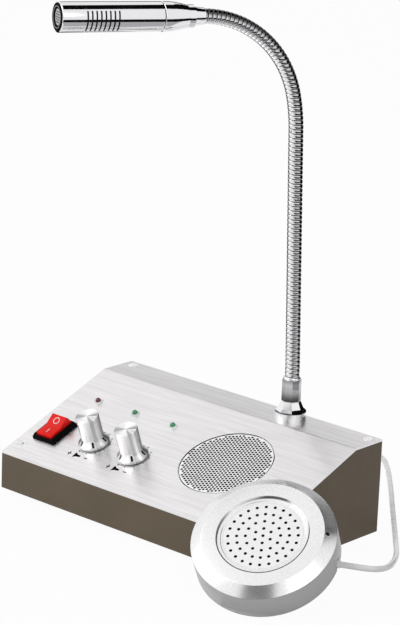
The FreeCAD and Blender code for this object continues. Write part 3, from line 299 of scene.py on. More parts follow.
FACE = brushed("brushed_face", (232, 230, 231), 0.34, contrast=0.07)
TAUPE = painted("case_taupe", (103, 91, 75), 0.5)
TAUPE.set("Specular IOR Level", 0.3)
CHROME = polished("chrome_plate", (232, 232, 234))
# The neck nut's chrome carries painted shade and painted reflection: dark bands set by height.
NUT_CHROME_PAINTED_SHADE = painted_shade_by_height(polished("nut_chrome", (238, 238, 240)), (
    (58.0, 0.08), (75.6, 0.36), (58.7, 0.08), (59.1, 1.0), (63.8, 1.0), (64.5, 0.05),
    (66.4, 0.15), (69.5, 0.45), (73.5, 0.6)))
# The gooseneck's chrome carries painted reflection and painted shade: dark and light bands round
# the winding.
NECK_CHROME_PAINTED_SHADE = wound(polished("neck_chrome", (234, 234, 236)), (
    (-180, 0.85), (180, 0.85), (-110, 0.9), (-85, 0.3), (-67, 0.08), (-28, 0.13), (-17, 0.42),
    (-7, 0.72), (4, 0.8), (12, 0.62), (23, 0.6), (30, 0.75), (40, 0.95), (76, 0.92), (90, 0.7),
    (100, 0.3), (113, 0.25), (128, 0.5), (150, 0.9)))
SATIN = brushed("satin_washer", (236, 236, 236), 0.32, "Z")
# The knobs' spun metal carries painted reflection: grey bands round the turn.
KNOB_PAINTED_BANDS = painted_bands_round(spun("knob_spun", (250, 250, 251), 0.34), (
    (0.0, 0.6), (1.0, 0.6), (0.02, 1.0), (0.05, 0.9), (0.08, 0.42), (0.12, 0.42), (0.17, 0.9),
    (0.35, 1.0), (0.5, 0.9), (0.56, 0.48), (0.62, 0.48), (0.67, 0.88), (0.8, 1.0),
    (0.885, 1.0), (0.905, 0.5), (0.94, 0.58), (0.96, 1.0), (0.985, 0.95)))
STEEL = brushed("plain_steel", (168, 168, 170), 0.36, "Z", 0.05, 0.003)
STATION_METAL = spun("station_spun", (236, 236, 237), 0.24, 0.4)
# The station's groove ring carries painted shade and painted reflection: dark arcs round the turn.
GROOVE_PAINTED_SHADE = painted_bands_round(spun("groove_spun", (240, 240, 241), 0.4, 0.3), (
    (0.0, 0.08), (1.0, 0.08), (0.05, 0.2), (0.09, 0.8), (0.19, 0.8), (0.215, 0.16), (0.29, 0.16),
    (0.325, 0.7), (0.42, 0.85), (0.47, 0.3), (0.52, 0.12), (0.75, 0.08)))
STATION_SIDE = painted("station_side", (190, 190, 191), 0.36, 0.004, 0.02, 1200.0)
BLACK = moulded("black_moulded", (24, 23, 24), 0.38)
MATT_BLACK = moulded("black_matt", (11, 11, 12), 0.8, Specular_IOR_Level=0.05)
PAD_GREY = moulded("pad_grey", (150, 150, 151), 0.7, 500.0, 0.02)
GRILLE_METAL = brushed("grille_disc", (246, 246, 246), 0.36)
RED = moulded("red_rocker", (240, 20, 10), 0.45, 900.0, 0.002, Specular_IOR_Level=0.22)
WHITE_INK = moulded("white_ink", (244, 232, 228), 0.45)
BLACK_INK = moulded("black_ink", (10, 10, 11), 0.8, Specular_IOR_Level=0.05)
LENS = moulded("clear_lens", (244, 246, 244), 0.12, 900.0, 0.001, Coat_Weight=0.5)
RED_LAMP = moulded("lamp_red", (96, 22, 34), 0.1, 900.0, 0.001, Coat_Weight=0.8)
GREEN_LAMP = moulded("lamp_green", (44, 150, 100), 0.1, 900.0, 0.001, Coat_Weight=0.8)
RUBBER = moulded("foot_rubber", (34, 33, 33), 0.7, 500.0, 0.02)
BOARD = moulded("board_green", (22, 78, 48), 0.4)
PAPER = moulded("cone_paper", (30, 29, 29), 0.85, 600.0, 0.03)
MAGNET = painted("magnet_grey", (70, 70, 72), 0.55)
NICKEL = polished("nickel_plate", (188, 187, 184), 0.16)
JACKET = moulded("cord_jacket", (240, 240, 239), 0.3, 400.0, 0.003, Coat_Weight=0.3)
FOAM = moulded("dark_foam", (12, 12, 14), 0.9, 900.0, 0.05)


# ---- mesh helpers

def linked(name, data):
    made = bpy.data.objects.new(name, data)
    bpy.context.scene.collection.objects.link(made)
    return made


def evaluated(host):
    """The plain mesh that an object's modifiers or curve settings make."""
    ready = host.evaluated_get(bpy.context.evaluated_depsgraph_get())
    return bpy.data.meshes.new_from_object(ready)


def rounded(corners, radius, steps=5):
    """Corners of a flat outline, each turned into a short arc."""
    made = []
    for i, here in enumerate(corners):
        here = Vector(here)
        before = Vector(corners[i - 1]) - here
        after = Vector(corners[(i + 1) % len(corners)]) - here
        cut = min(radius, before.length * 0.45, after.length * 0.45)
        start, end = here + before.normalized() * cut, here + after.normalized() * cut
        for k in range(steps + 1):
            f = k / steps
            made.append(tuple(start * (1 - f) ** 2 + here * 2 * f * (1 - f) + end * f ** 2))
    return made


def walls(made, rows, caps=True):
    """Faces between rows of vertices, and over both ends."""
    for low, high in zip(rows, rows[1:]):
        for k in range(len(low)):
            n = (k + 1) % len(low)
            made.faces.new((low[k], low[n], high[n], high[k]))
    if caps:
        made.faces.new(rows[0][::-1])
        made.faces.new(rows[-1])


def spin(profile, steps=96, closed=False):
    """Turned shape about Z of (radius, height) points, with a map that runs round it."""
    made = bmesh.new()
    around = made.loops.layers.uv.new("Round")
    rows = []
    for radius, height in profile:
        if radius < 1e-6:
            rows.append([made.verts.new((0, 0, height))] * (steps + 1))
            continue
        row = [made.verts.new((radius * math.cos(2 * math.pi * k / steps),
                               radius * math.sin(2 * math.pi * k / steps), height))
               for k in range(steps)]
        rows.append(row + row[:1])
    if closed:
        rows.append(rows[0])
    for j, (low, high) in enumerate(zip(rows, rows[1:])):
        for k in range(steps):
            loop, marks = [], []
            for vert, u, v in ((low[k], k, j), (low[k + 1], k + 1, j), (high[k + 1], k + 1, j + 1),
                               (high[k], k, j + 1)):
                if vert not in loop:
                    loop.append(vert)
                    marks.append((u / steps, v / len(rows)))
            if len(loop) < 3:
                continue
            face = made.faces.new(loop)
            for corner, mark in zip(face.loops, marks):
                corner[around].uv = mark
    return made


def stack(loops):
    """Shape of rounded-rectangle loops (half width, half length, corner, height), capped."""
    made, rows = bmesh.new(), []
    for half_x, half_y, corner, height in loops:
        outline = rounded([(half_x, half_y), (-half_x, half_y), (-half_x, -half_y),
                           (half_x, -half_y)], corner)
        rows.append([made.verts.new((x, y, height)) for x, y in outline])
    walls(made, rows)
    return made


def slab(outline, low, high):
    """Flat outline pulled up between two heights."""
    made = bmesh.new()
    floor = [made.verts.new((x, y, low)) for x, y in outline]
    roof = [made.verts.new((x, y, high)) for x, y in outline]
    made.faces.new(floor[::-1])
    made.faces.new(roof)
    walls(made, [floor, roof], caps=False)
    return made


def outward(made):
    bmesh.ops.remove_doubles(made, verts=made.verts, dist=1e-5)
    bmesh.ops.recalc_face_normals(made, faces=made.faces)
    if made.calc_volume(signed=True) < 0:
        bmesh.ops.reverse_faces(made, faces=made.faces)


def plain_mesh(name, made):
    mesh = bpy.data.meshes.new(name)
    made.to_mesh(mesh)
    made.free()
    return mesh


def shaded(mesh, sharp=30.0):
    mesh.shade_smooth()
    mesh.set_sharp_from_angle(angle=math.radians(sharp))
    return mesh


def mesh_of(name, made, where, sharp=30.0):
    """Millimetre mesh at its place in the object's frame."""
    outward(made)
    mesh = plain_mesh(name, made)
    mesh.transform(where @ Matrix.Scale(MM, 4))
    return shaded(mesh, sharp)


def piece(name, mesh, finish, body, stands_for=()):
    made = linked(name, mesh)
    mesh.materials.clear()
    mesh.materials.append(finish.material)
    own(made, body, stands_for)
    return made


def turned_piece(name, profile, steps, where, finish, stands_for=(), body="base",
                 sharp=30.0, closed=True):
    """A piece that is nothing but a turned shape."""
    mesh = mesh_of(name, spin(profile, steps, closed), where, sharp)
    piece(name, mesh, finish, body, stands_for)


def own(made, body, stands_for=()):
    if body:
        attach(made, body)
    if stands_for:
        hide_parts(*stands_for)


def joined(name, meshes):
    """Several placed meshes as one."""
    made = bmesh.new()
    for mesh in meshes:
        made.from_mesh(mesh)
    return shaded(plain_mesh(name, made))


# ---- trees for what repeats

class Tree(Nodes):
    """A geometry node tree with named inputs, ending in Realize Instances and Set Material."""

    KINDS = {float: "Float", int: "Int", Vector: "Vector", type(None): "Object"}

    def __init__(self, name, **inputs):
        super().__init__(bpy.data.node_groups.new(name, "GeometryNodeTree"))
        self.values = inputs
        sockets = [("Geometry", "INPUT", "Geometry")]
        sockets += [(key, "INPUT", self.KINDS[type(value)]) for key, value in inputs.items()]
        sockets += [("Finish", "INPUT", "Material"), ("Geometry", "OUTPUT", "Geometry")]
        for key, side, kind in sockets:
            self.tree.interface.new_socket(key, in_out=side, socket_type="NodeSocket" + kind)
        self.input = self.node("NodeGroupInput")

    def step(self, kind, *firsts, **values):
        """First output of a new geometry node."""
        return self.node("GeometryNode" + kind, *firsts, **values).outputs[0]

    def given(self, key):
        return self.input.outputs[key]

    def math(self, operation, *values):
        return self.node("Math", *values, operation=operation).outputs[0]

    def vector(self, operation, a, b=None):
        made = self.node("VectorMath", a, operation=operation)
        if b is not None:
            self.plug(b, made.inputs[3 if operation == "SCALE" else 1])
        return made.outputs["Value" if operation == "LENGTH" else "Vector"]

    def spot(self):
        """The three parts of each point's own place."""
        return self.node("SeparateXYZ", self.step("InputPosition")).outputs

    def finish(self, geometry):
        real = self.step("RealizeInstances", geometry)
        self.node("NodeGroupOutput",
                  self.step("SetMaterial", real, Material=self.given("Finish")))
        return self

    def grow(self, name, source, finish, **changed):
        """Runs the tree on a mesh or curve and returns the plain mesh that comes out."""
        host = linked(name + "_source", source)
        modifier = host.modifiers.new("Tree", "NODES")
        modifier.node_group = self.tree
        values = dict(self.values, Finish=finish.material, **changed)
        for item in self.tree.interface.items_tree:
            if item.in_out == "INPUT" and item.name in values:
                modifier[item.identifier] = values[item.name]
        bpy.context.view_layer.update()
        mesh = evaluated(host)
        host.modifiers.clear()
        bpy.data.objects.remove(host)
        mesh.name = name
        return mesh


def spiral_tree():
    """Rounded metal band wound round a path: each turn lies against the next."""
    tree = Tree("spiral_band", Start=0.0, End=0.1, Pitch=NECK_PITCH * MM,
                Radius=NECK_RADIUS * MM, Thick=0.9 * MM, Crown=0.34, Side=Vector((1, 0, 0)))
    given, calc, vector = tree.given, tree.math, tree.vector
    pitch, side = given("Pitch"), given("Side")
    half = calc("MULTIPLY", given("Thick"), 0.5)
    turns = calc("DIVIDE", calc("SUBTRACT", given("End"), given("Start")), pitch)
    band = tree.step("MeshCylinder", fill_type="NGON", Vertices=12, Radius=1.0, Depth=turns,
                     Side_Segments=calc("ROUND", calc("MULTIPLY", turns, 26.0)))
    spot = tree.spot()
    done = calc("ADD", spot[2], calc("MULTIPLY", turns, 0.5))
    length = calc("ADD", given("Start"), calc("MULTIPLY", done, pitch))

    def squared(value, power):
        return calc("MULTIPLY", calc("SIGN", value), calc("POWER", calc("ABSOLUTE", value), power))

    across = calc("MULTIPLY", squared(spot[0], 0.42), calc("MULTIPLY", pitch, 0.425))
    rise = calc("MULTIPLY", squared(spot[1], given("Crown")), half)
    radius = calc("ADD", calc("SUBTRACT", given("Radius"), half), rise)
    sample = tree.node("GeometryNodeSampleCurve", given("Geometry"), mode="LENGTH",
                       Length=calc("ADD", length, across)).outputs
    lift = vector("CROSS_PRODUCT", side, sample["Tangent"])
    angle = calc("MULTIPLY", calc("DIVIDE", length, pitch), 2 * math.pi)
    cosine, sine = calc("COSINE", angle), calc("SINE", angle)
    ring = vector("ADD", vector("SCALE", side, cosine), vector("SCALE", lift, sine))
    # Ring keeps the winding's angle, which the neck finish reads for its painted reflection and
    # shade.
    marked = tree.step("StoreNamedAttribute", band, data_type="FLOAT_VECTOR", Name="Ring",
                       Value=tree.node("CombineXYZ", cosine, sine).outputs[0])
    moved = tree.step("SetPosition", marked, Position=vector(
        "ADD", sample["Position"], vector("SCALE", ring, radius)))
    return tree.finish(tree.step("SetShadeSmooth", moved))


def sieve_tree():
    """Round sheet with a staggered field of holes, given its thickness downwards."""
    tree = Tree("sieve_sheet", Sheet=25.1 * MM, Field=24.3 * MM, Hole=0.76 * MM, Pitch=1.9 * MM,
                Thick=0.4 * MM, Rows=33, Sides=10)
    given, calc = tree.given, tree.math
    pitch, rows = given("Pitch"), given("Rows")
    step = calc("MULTIPLY", pitch, 0.91)
    less_one = calc("SUBTRACT", rows, 1.0)
    grid = tree.step("MeshGrid", Size_X=calc("MULTIPLY", step, less_one),
                     Size_Y=calc("MULTIPLY", pitch, less_one), Vertices_X=rows, Vertices_Y=rows)
    row = calc("ROUND", calc("DIVIDE", tree.spot()[0], step))
    odd = calc("ABSOLUTE", calc("MODULO", row, 2.0))
    shift = tree.node("CombineXYZ", Y=calc("MULTIPLY", odd, calc("MULTIPLY", pitch, 0.5)))
    laid = tree.step("SetPosition", grid, Offset=shift.outputs[0])
    reach = tree.vector("LENGTH", tree.step("InputPosition"))
    kept = tree.step("DeleteGeometry", laid, calc("GREATER_THAN", reach, given("Field")))
    hole = tree.step("CurvePrimitiveCircle", Resolution=given("Sides"), Radius=given("Hole"))
    holes = tree.step("InstanceOnPoints", kept, Instance=hole)
    return punched(tree, [holes])


def punched(tree, outlines):
    """Closes the tree: a round sheet with the outlines cut out, hanging below zero."""
    lines, both = (tree.node("GeometryNodeJoinGeometry") for _ in range(2))
    for outline in outlines:
        tree.plug(tree.step("RealizeInstances", outline), lines.inputs[0])
    rim = tree.step("CurvePrimitiveCircle", Resolution=96, Radius=tree.given("Sheet"))
    tree.plug(rim, lines.inputs[0])
    flat = tree.step("FillCurve", lines.outputs[0])
    tree.plug(tree.step("ExtrudeMesh", flat, Individual=False,
                        Offset_Scale=tree.given("Thick")), both.inputs[0])
    tree.plug(tree.step("FlipFaces", flat), both.inputs[0])
    welded = tree.step("MergeByDistance", both.outputs[0], Distance=1e-6)
    drop = tree.node("CombineXYZ", Z=tree.math("MULTIPLY", tree.given("Thick"), -1.0))
    return tree.finish(tree.step("Transform", welded, Translation=drop.outputs[0]))


EMPTY = bpy.data.meshes.new("nothing")
SPIRAL, SIEVE = spiral_tree(), sieve_tree()


# ---- camera, light and floor

def camera():
    lens = bpy.data.cameras.new("camera")
    lens.sensor_width, lens.lens = 36.0, 152.87
    lens.clip_end = 20.0
    made = linked("camera", lens)
    right = Vector((0.741304, 0.670063, 0.038521))
    up = Vector((-0.215584, 0.183366, 0.959114))
    back = right.cross(up)
    made.matrix_world = Matrix.Translation((0.882971, -0.994573, 0.501283)) @ Matrix(
        (right, up, back)).transposed().to_4x4()
    bpy.context.scene.camera = made


def sky():
    world = bpy.data.worlds.new("studio")
    bpy.context.scene.world = world
    world.use_nodes = True
    nodes = Nodes(world.node_tree)
    back = nodes.tree.nodes["Background"]
    back.inputs["Color"].default_value = (1, 1, 1, 1)
    nodes.plug(eye_or_mirror(nodes, 1.0, 0.5), back.inputs["Strength"])


def eye_or_mirror(nodes, shown, other):
    """A value for rays from the eye, mirrors and glass, and another one for the rest."""
    light = nodes.node("LightPath").outputs
    total = light["Is Camera Ray"]
    for key in ("Is Glossy Ray", "Is Transmission Ray"):
        total = nodes.node("Math", total, light[key], operation="MAXIMUM").outputs[0]
    return nodes.node("MapRange", Value=total, To_Min=other, To_Max=shown).outputs["Result"]


def sheet(name, corners, material_name):
    """Flat studio sheet and the nodes of its material."""
    mesh = bpy.data.meshes.new(name)
    mesh.from_pydata([Vector(c) for c in corners], [], [tuple(range(len(corners)))])
    made = linked(name, mesh)
    material = bpy.data.materials.new(material_name)
    material.use_nodes = True
    mesh.materials.append(material)
    return made, Nodes(material.node_tree)


def card(name, colour, corners):
    """Sheet that only reflections see. Dark ones are there for bright metal to reflect."""
    made, nodes = sheet(name, corners, name)
    nodes.tree.nodes.clear()
    shine = nodes.node("Emission", Color=(*colour, 1))
    nodes.node("OutputMaterial", Surface=shine.outputs[0])
    made.visible_camera = made.visible_diffuse = made.visible_shadow = False
    made.visible_transmission = False


def level(z, *spots):
    return [(x, y, z) for x, y in spots]


def floor():
    made, nodes = sheet("floor", level(0, (-6, -6), (6, -6), (6, 6), (-6, 6)), "floor_white")
    matt = nodes.tree.nodes["Principled BSDF"]
    for key, value in (("Base Color", (0.86, 0.86, 0.86, 1)), ("Roughness", 0.9),
                       ("Specular IOR Level", 0.0)):
        matt.inputs[key].default_value = value
    mix = nodes.node("MixShader", eye_or_mirror(nodes, 0.96, 0.0), matt.outputs[0],
                     nodes.node("Emission").outputs[0])
    nodes.plug(mix.outputs[0], nodes.tree.nodes["Material Output"].inputs["Surface"])


def soft_light(name, spot, aim, width, height, watts):
    lamp = bpy.data.lights.new(name, "AREA")
    lamp.shape, lamp.size, lamp.size_y, lamp.energy = "RECTANGLE", width, height, watts
    way = (Vector(aim) - Vector(spot)).to_track_quat("-Z", "Y")
    linked(name, lamp).matrix_world = Matrix.Translation(spot) @ way.to_matrix().to_4x4()


def toward(azimuth, height, distance):
    """Point seen from the object in a direction given in degrees."""
    a, h = math.radians(azimuth), math.radians(height)
    return Vector((math.cos(a) * math.cos(h), math.sin(a) * math.cos(h), math.sin(h))) * distance


def far_card(name, colour, azimuths, heights, distance):
    left, right = azimuths
    low, high = heights
    card(name, colour, [toward(*spot, distance) for spot in
                        ((left, low), (right, low), (right, high), (left, high))])


def studio():
    bpy.context.scene.view_settings.view_transform = "Standard"
    camera()
    sky()
    floor()
    soft_light("key_light", (-0.74, -0.88, 1.04), (0, 0, 0.05), 0.9, 0.8, 8.0)
    soft_light("fill_light", (1.22, -0.5, 0.9), (0, 0, 0.08), 0.8, 0.8, 1.6)
    dark, grey = (0.004, 0.004, 0.004), (0.46, 0.46, 0.475)
    near_floor, high_up = 0.004, 1.77
    card("dark_strip_low", dark, level(near_floor, (0.47, -0.9), (1.39, -0.9), (1.39, 0.9),
                                       (0.47, 0.9)))
    card("dark_strip_front", dark, level(near_floor, (0.27, -0.16), (0.27, -0.9), (0.47, -0.9),
                                         (0.47, -0.16)))
    card("dark_strip_left", dark, level(near_floor, (-0.14, 0.16), (-0.14, 0.0), (-1.2, -0.3),
                                        (-1.2, 0.72)))
    card("grey_near", grey, level(0.003, (0.10, -0.10), (0.47, -0.14), (0.47, 0.16),
                                  (0.10, 0.0)))
    card("dark_upright", dark, [(0.50, 0.32, 0.0), (-0.12, 0.56, 0.0), (-0.12, 0.56, 0.12),
                                (0.0, 0.512, 0.18), (0.10, 0.474, 0.34), (0.50, 0.32, 0.40)])
    card("dark_behind", (0.04, 0.04, 0.04), [(-0.36, 0.72, 0.56), (-0.64, 0.50, 0.56),
                                             (-0.64, 0.50, 0.78), (-0.36, 0.72, 0.78)])
    far_card("dark_right", dark, (60, 102), (17, 35), 1.6)
    over = [(0.28, 0.62), (0.18, 0.50), (0.065, 0.43), (-0.028, 0.39), (-0.109, 0.345),
            (-0.184, 0.305), (-0.259, 0.275), (-0.346, 0.25), (-0.466, 0.265), (-0.675, 0.33)]
    under = [(-0.675, 0.25), (-0.466, 0.20), (-0.346, 0.19), (-0.259, 0.20), (-0.184, 0.20),
             (-0.109, 0.215), (-0.028, 0.25), (0.065, 0.30), (0.18, 0.37), (0.28, 0.43)]
    card("grey_behind", (0.29, 0.29, 0.295), [(x, 0.30, z) for x, z in over + under])
    far_card("dark_front", (0.13, 0.13, 0.13), (-83, -53), (12, 40), 1.4)
    card("dark_above", dark, level(high_up, (0.82, 0.10), (1.0, 0.52), (-0.08, 1.03),
                                   (-0.10, 0.50)))
    card("dark_above_far", dark, level(high_up, (1.0, 0.52), (0.97, 1.45), (0.9, 2.3),
                                       (-1.0, 2.4), (-0.80, 1.93), (-0.35, 1.32),
                                       (-0.08, 1.03)))


# ---- cord

CORD_RADIUS = 1.5
CORD_ROUTE = [
    (153.7, -33.9, 23.4), (156.3, -25.1, 23.0), (144.4, -3.9, 19.4), (118.5, 29.4, 9.5),
    (94.7, 59.4, 2.7), (69.6, 89.4, 1.6), (45.4, 118.6, 1.6), (14.6, 152.8, 1.6),
    (-15.0, 158.4, 1.6), (-44.0, 141.0, 1.8),
]
TAIL_ROUTE = [(-51.2, 98.0, 16.6), (-49.2, 91.4, 17.2)]
COIL_X, COIL_Y, COIL_RADIUS, COIL_FLOOR = -30.0, 105.0, 18.0, 2.3
COIL_ROWS = ((3, 0, -3), (-4.5, -1.5, 1.5, 4.5), (6, 3, 0, -3, -6), (-4.5, -1.5, 1.5, 4.5),
             (3, 0, -3))
COIL_ROW_HEIGHT, COIL_START, COIL_POINTS = 2.92, 172.0, 16


def gland_place():
    return on_station() @ turn(0.5, "Z") @ place(STATION_RADIUS, 0, -STATION_DEPTH + 3.1)


def coil_points():
    """Turns of the coil: each seat is held for most of a turn, then the cord steps over."""
    seats = [(COIL_RADIUS + off, COIL_FLOOR + row * COIL_ROW_HEIGHT)
             for row, offs in enumerate(COIL_ROWS) for off in offs]
    points = []
    for k in range(len(seats) * COIL_POINTS):
        seat, share = divmod(k / COIL_POINTS, 1.0)
        here, there = seats[int(seat)], seats[min(int(seat) + 1, len(seats) - 1)]
        f = max(0.0, (share - 0.7) / 0.3)
        f = f * f * (3 - 2 * f)
        radius, height = (a + (b - a) * f for a, b in zip(here, there))
        angle = math.radians(COIL_START + 360.0 * k / COIL_POINTS)
        points.append((COIL_X + radius * math.cos(angle), COIL_Y + radius * math.sin(angle),
                       height))
    return points


def cord():
    gland, plug = gland_place(), on_rear(-48.0) @ place(z=1.6)
    start = [(gland @ Vector((x * MM, 0, 0))) / MM for x in (-2.6, 6.0)]
    last = [(plug @ Vector((0, 0, z * MM))) / MM for z in (30.5, 21.0)]
    points = start + [Vector(p) for p in CORD_ROUTE + coil_points() + TAIL_ROUTE] + last
    line = bpy.data.curves.new("station_cord_line", "CURVE")
    line.dimensions = "3D"
    spline = line.splines.new("NURBS")
    spline.points.add(len(points) - 1)
    for spot, point in zip(spline.points, points):
        spot.co = (*(Vector(point) * MM), 1.0)
    spline.order_u = 3
    spline.use_endpoint_u = True
    spline.resolution_u = 3
    line.bevel_depth, line.bevel_resolution, line.use_fill_caps = CORD_RADIUS * MM, 3, True
    made = linked("cord_line", line)
    line.materials.append(JACKET.material)
    own(made, "base", ("station_cord", "cord_coil", "cord_tail"))
    boot = cord_boot(gland)
    cord_length(line)
    coil_ties()


def cord_length(line):
    """Length of the cord's own smooth line, from the gland to the plug."""
    bare = line.copy()
    bare.bevel_depth = 0.0
    host = linked("cord_measure", bare)
    mesh = evaluated(host)
    total = sum((mesh.vertices[a].co - mesh.vertices[b].co).length
                for a, b in (edge.vertices for edge in mesh.edges))
    bpy.data.objects.remove(host)
    bpy.data.meshes.remove(mesh)
    return round(total, 3)


def cord_boot(gland):
    """Grommet in the station's side: a dark block in the notch, a short collar on the cord."""
    block = slab([(-3.4, -2.3), (-0.5, -2.3), (-0.5, 2.3), (-3.4, 2.3)], -2.9, 2.6)
    soften(block, 0.35)
    piece("cord_grommet", mesh_of("block", block, gland), MATT_BLACK, "base",
          ("station_gland",))
    collar = spin([(0.0, -1.0), (1.9, -1.0), (1.9, 1.2), (1.8, 1.5), (0.0, 1.5)], 32)
    return piece("cord_collar", mesh_of("collar", collar, gland @ turn(90, "Y")), JACKET,
                 "base")


def coil_ties():
    """Two flat ties that hold the coil's turns together."""
    middle = COIL_FLOOR + 2 * COIL_ROW_HEIGHT
    meshes = []
    for angle in (70.0, 250.0):
        made, rows = bmesh.new(), []
        for k in range(40):
            a = 2 * math.pi * k / 40
            wide, tall = (math.copysign(abs(f) ** 0.85, f) for f in (math.cos(a), math.sin(a)))
            rows.append([made.verts.new((COIL_RADIUS + (7.75 + grow) * wide, side,
                                         middle + (7.5 + grow) * tall))
                         for side, grow in ((-1.5, 0.0), (1.5, 0.0), (1.5, 0.6), (-1.5, 0.6))])
        walls(made, rows + rows[:1], caps=False)
        meshes.append(mesh_of("tie", made, place(COIL_X, COIL_Y) @ turn(angle, "Z")))
    return piece("coil_ties", joined("coil_ties", meshes), BLACK, "base")


# ---- shaping helpers

def soften(made, width, steps=3, angle=30.0):
    """Rounds every edge sharper than the angle."""
    outward(made)
    edges = [e for e in made.edges if len(e.link_faces) == 2
             and e.calc_face_angle() > math.radians(angle)]
    bmesh.ops.bevel(made, geom=edges, offset=width, segments=steps, profile=0.5,
                    affect="EDGES", clamp_overlap=True)


def carved(made, cutters):
    """The millimetre mesh with every cutter taken out of it."""
    hosts = []
    for source in [made] + cutters:
        outward(source)
        hosts.append(linked("carve", plain_mesh("carve", source)))
    for tool in hosts[1:]:
        cut = hosts[0].modifiers.new("Cut", "BOOLEAN")
        cut.object, cut.operation, cut.solver = tool, "DIFFERENCE", "EXACT"
    mesh = evaluated(hosts[0])
    result = bmesh.new()
    result.from_mesh(mesh)
    for old in hosts:
        bpy.data.objects.remove(old)
    bpy.data.meshes.remove(mesh)
    return result


def block(x0, x1, y0, y1, z0, z1):
    return slab([(x0, y0), (x1, y0), (x1, y1), (x0, y1)], z0, z1)


def turned_by(made, where):
    bmesh.ops.transform(made, matrix=where, verts=made.verts)
    return made


def smooth_profile(points, steps=8):
    """Flowing line through (height, radius) points, as (radius, height) pairs."""
    made = []
    ends = [points[0]] + list(points) + [points[-1]]
    for a, b, c, d in zip(ends, ends[1:], ends[2:], ends[3:]):
        for k in range(steps):
            t = k / steps
            made.append(tuple(
                0.5 * (2 * b[i] + (c[i] - a[i]) * t + (2 * a[i] - 5 * b[i] + 4 * c[i] - d[i])
                       * t * t + (3 * b[i] - a[i] - 3 * c[i] + d[i]) * t ** 3)
                for i in (1, 0)))
    made.append((points[-1][1], points[-1][0]))
    return made


# ---- pieces that repeat

def points_mesh(places):
    """Mesh of single points, each keeping the way it faces and the way it is turned."""
    mesh = bpy.data.meshes.new("places")
    mesh.from_pydata([p.translation for p in places], [], [])
    for key, column in (("Way", 2), ("Across", 0)):
        values = mesh.attributes.new(key, "FLOAT_VECTOR", "POINT")
        for item, p in zip(values.data, places):
            item.vector = p.col[column].to_3d()
    return mesh


def repeat_tree():
    """One small part at every point, standing along Way and turned to Across."""
    tree = Tree("repeat_part", Size=1.0, Part=None)

    def aligned(key, **settings):
        way = tree.step("InputNamedAttribute", data_type="FLOAT_VECTOR", Name=key)
        return tree.node("FunctionNodeAlignRotationToVector", Vector=way, **settings).outputs[0]

    across = aligned("Across", axis="X", pivot_axis="Z", Rotation=aligned("Way", axis="Z"))
    part = tree.node("GeometryNodeObjectInfo", Object=tree.given("Part"))
    return tree.finish(tree.step("InstanceOnPoints", tree.given("Geometry"), Rotation=across,
                                 Instance=part.outputs["Geometry"], Scale=tree.given("Size")))


REPEAT = repeat_tree()


def repeated(name, made, places, finish):
    """Mesh of one part set at each of the places."""
    part = linked(name + "_part", mesh_of(name + "_part", made, Matrix.Identity(4)))
    grown = REPEAT.grow(name, points_mesh(places), finish, Part=part)
    bpy.data.objects.remove(part)
    return grown


def plate_screw_places():
    slope = [on_slope(side * SCREW_X, 10.0) @ turn(20 + 30 * side, "Z") for side in (-1, 1)]
    return slope + [on_flat(side * SCREW_X, 45.0) @ turn(35 * side, "Z") for side in (-1, 1)]


def cover_screw_places():
    under = CASE @ turn(180, "X")
    return [under @ place(i * SCREW_X, j * 43.0) @ turn(25 * i + 10 * j, "Z")
            for i in (-1, 1) for j in (-1, 1)]


def screws():
    """Countersunk heads with a cross recess, and the shanks below them."""
    def screw():
        head = spin([(0.0, -6.0), (1.45, -6.0), (1.45, -1.3), (2.66, -0.18), (2.7, -0.08),
                     (2.64, 0.0), (0.0, 0.0)], 40)
        arms = []
        for angle in (0, 90):
            arm = bmesh.new()
            walls(arm, [[arm.verts.new((x, y, z)) for x, y in ((-a, -b), (a, -b), (a, b), (-a, b))]
                        for a, b, z in ((0.7, 0.18, -1.1), (1.5, 0.3, 0.2))])
            arms.append(turned_by(arm, turn(angle + 0.5, "Z")))
        return carved(head, arms)

    for name, places in (("plate_screw_heads", plate_screw_places()),
                         ("cover_screw_heads", cover_screw_places())):
        mesh = repeated(name, screw(), places, CHROME)
        piece(name, mesh, CHROME, "base", (name.replace("screw_heads", "screws"),))


# ---- face plate pieces

def grille():
    where = on_slope(GRILLE_X, GRILLE_S)
    disc = SIEVE.grow("grille_sheet", EMPTY.copy(), GRILLE_METAL)
    disc.transform(where @ place(z=-0.24))
    rim = mesh_of("grille_rim", spin(
        [(24.9, -1.8), (29.5, -1.8), (29.5, -1.02), (24.9, -1.02)], 96, closed=True), where)
    piece("grille_plate", joined("grille_plate", [disc, rim]), GRILLE_METAL, "base",
          ("speaker_grille",))
    turned_piece("grille_cloth", [(0.0, -0.95), (25.42, -0.95), (25.42, -0.7), (0.0, -0.7)], 64,
                 where, MATT_BLACK, closed=False)


def knobs():
    flare = [(1.4, 8.5), (1.8, 8.44), (2.7, 7.6), (3.5, 6.85), (4.5, 6.3), (5.4, 6.17)]
    profile = ([(0.0, 3.0), (5.6, 3.0), (5.6, 0.4), (5.7, 0.3), (8.3, 0.3), (8.5, 0.5)]
               + smooth_profile(flare, 4)
               + [(6.18, 6.0), (6.36, 17.3), (6.36, 17.7), (6.25, 17.92), (6.0, 18.0),
                  (5.85, 17.96), (5.7, 17.9), (0.0, 17.86)])
    for side, x in KNOBS.items():
        where, notches, notch_shades = on_slope(x, KNOB_S), [], []
        for k in range(6):
            way = turn(60 * k + 12, "Z")
            notches.append(turned_by(block(6.3, 9.6, -0.6, 0.6, 2.1, 5.4), way))
            # Each notch holds a matt black fill: painted shade in the notch.
            fill = slab([(6.25, 2.05), (7.75, 2.05), (7.6, 2.5), (6.95, 3.2), (6.5, 4.1),
                         (6.25, 4.6)], -0.58, 0.58)
            notch_shades.append(mesh_of("fill", turned_by(fill, way @ turn(90, "X")), where))
        mesh = mesh_of("knob", carved(spin(profile, 96), notches), where, 40.0)
        piece("knob_cap_" + side, mesh, KNOB_PAINTED_BANDS, "knob_" + side,
              ("knob_" + side,))
        piece("knob_notches_" + side, joined("knob_notches", notch_shades), MATT_BLACK,
              "knob_" + side)


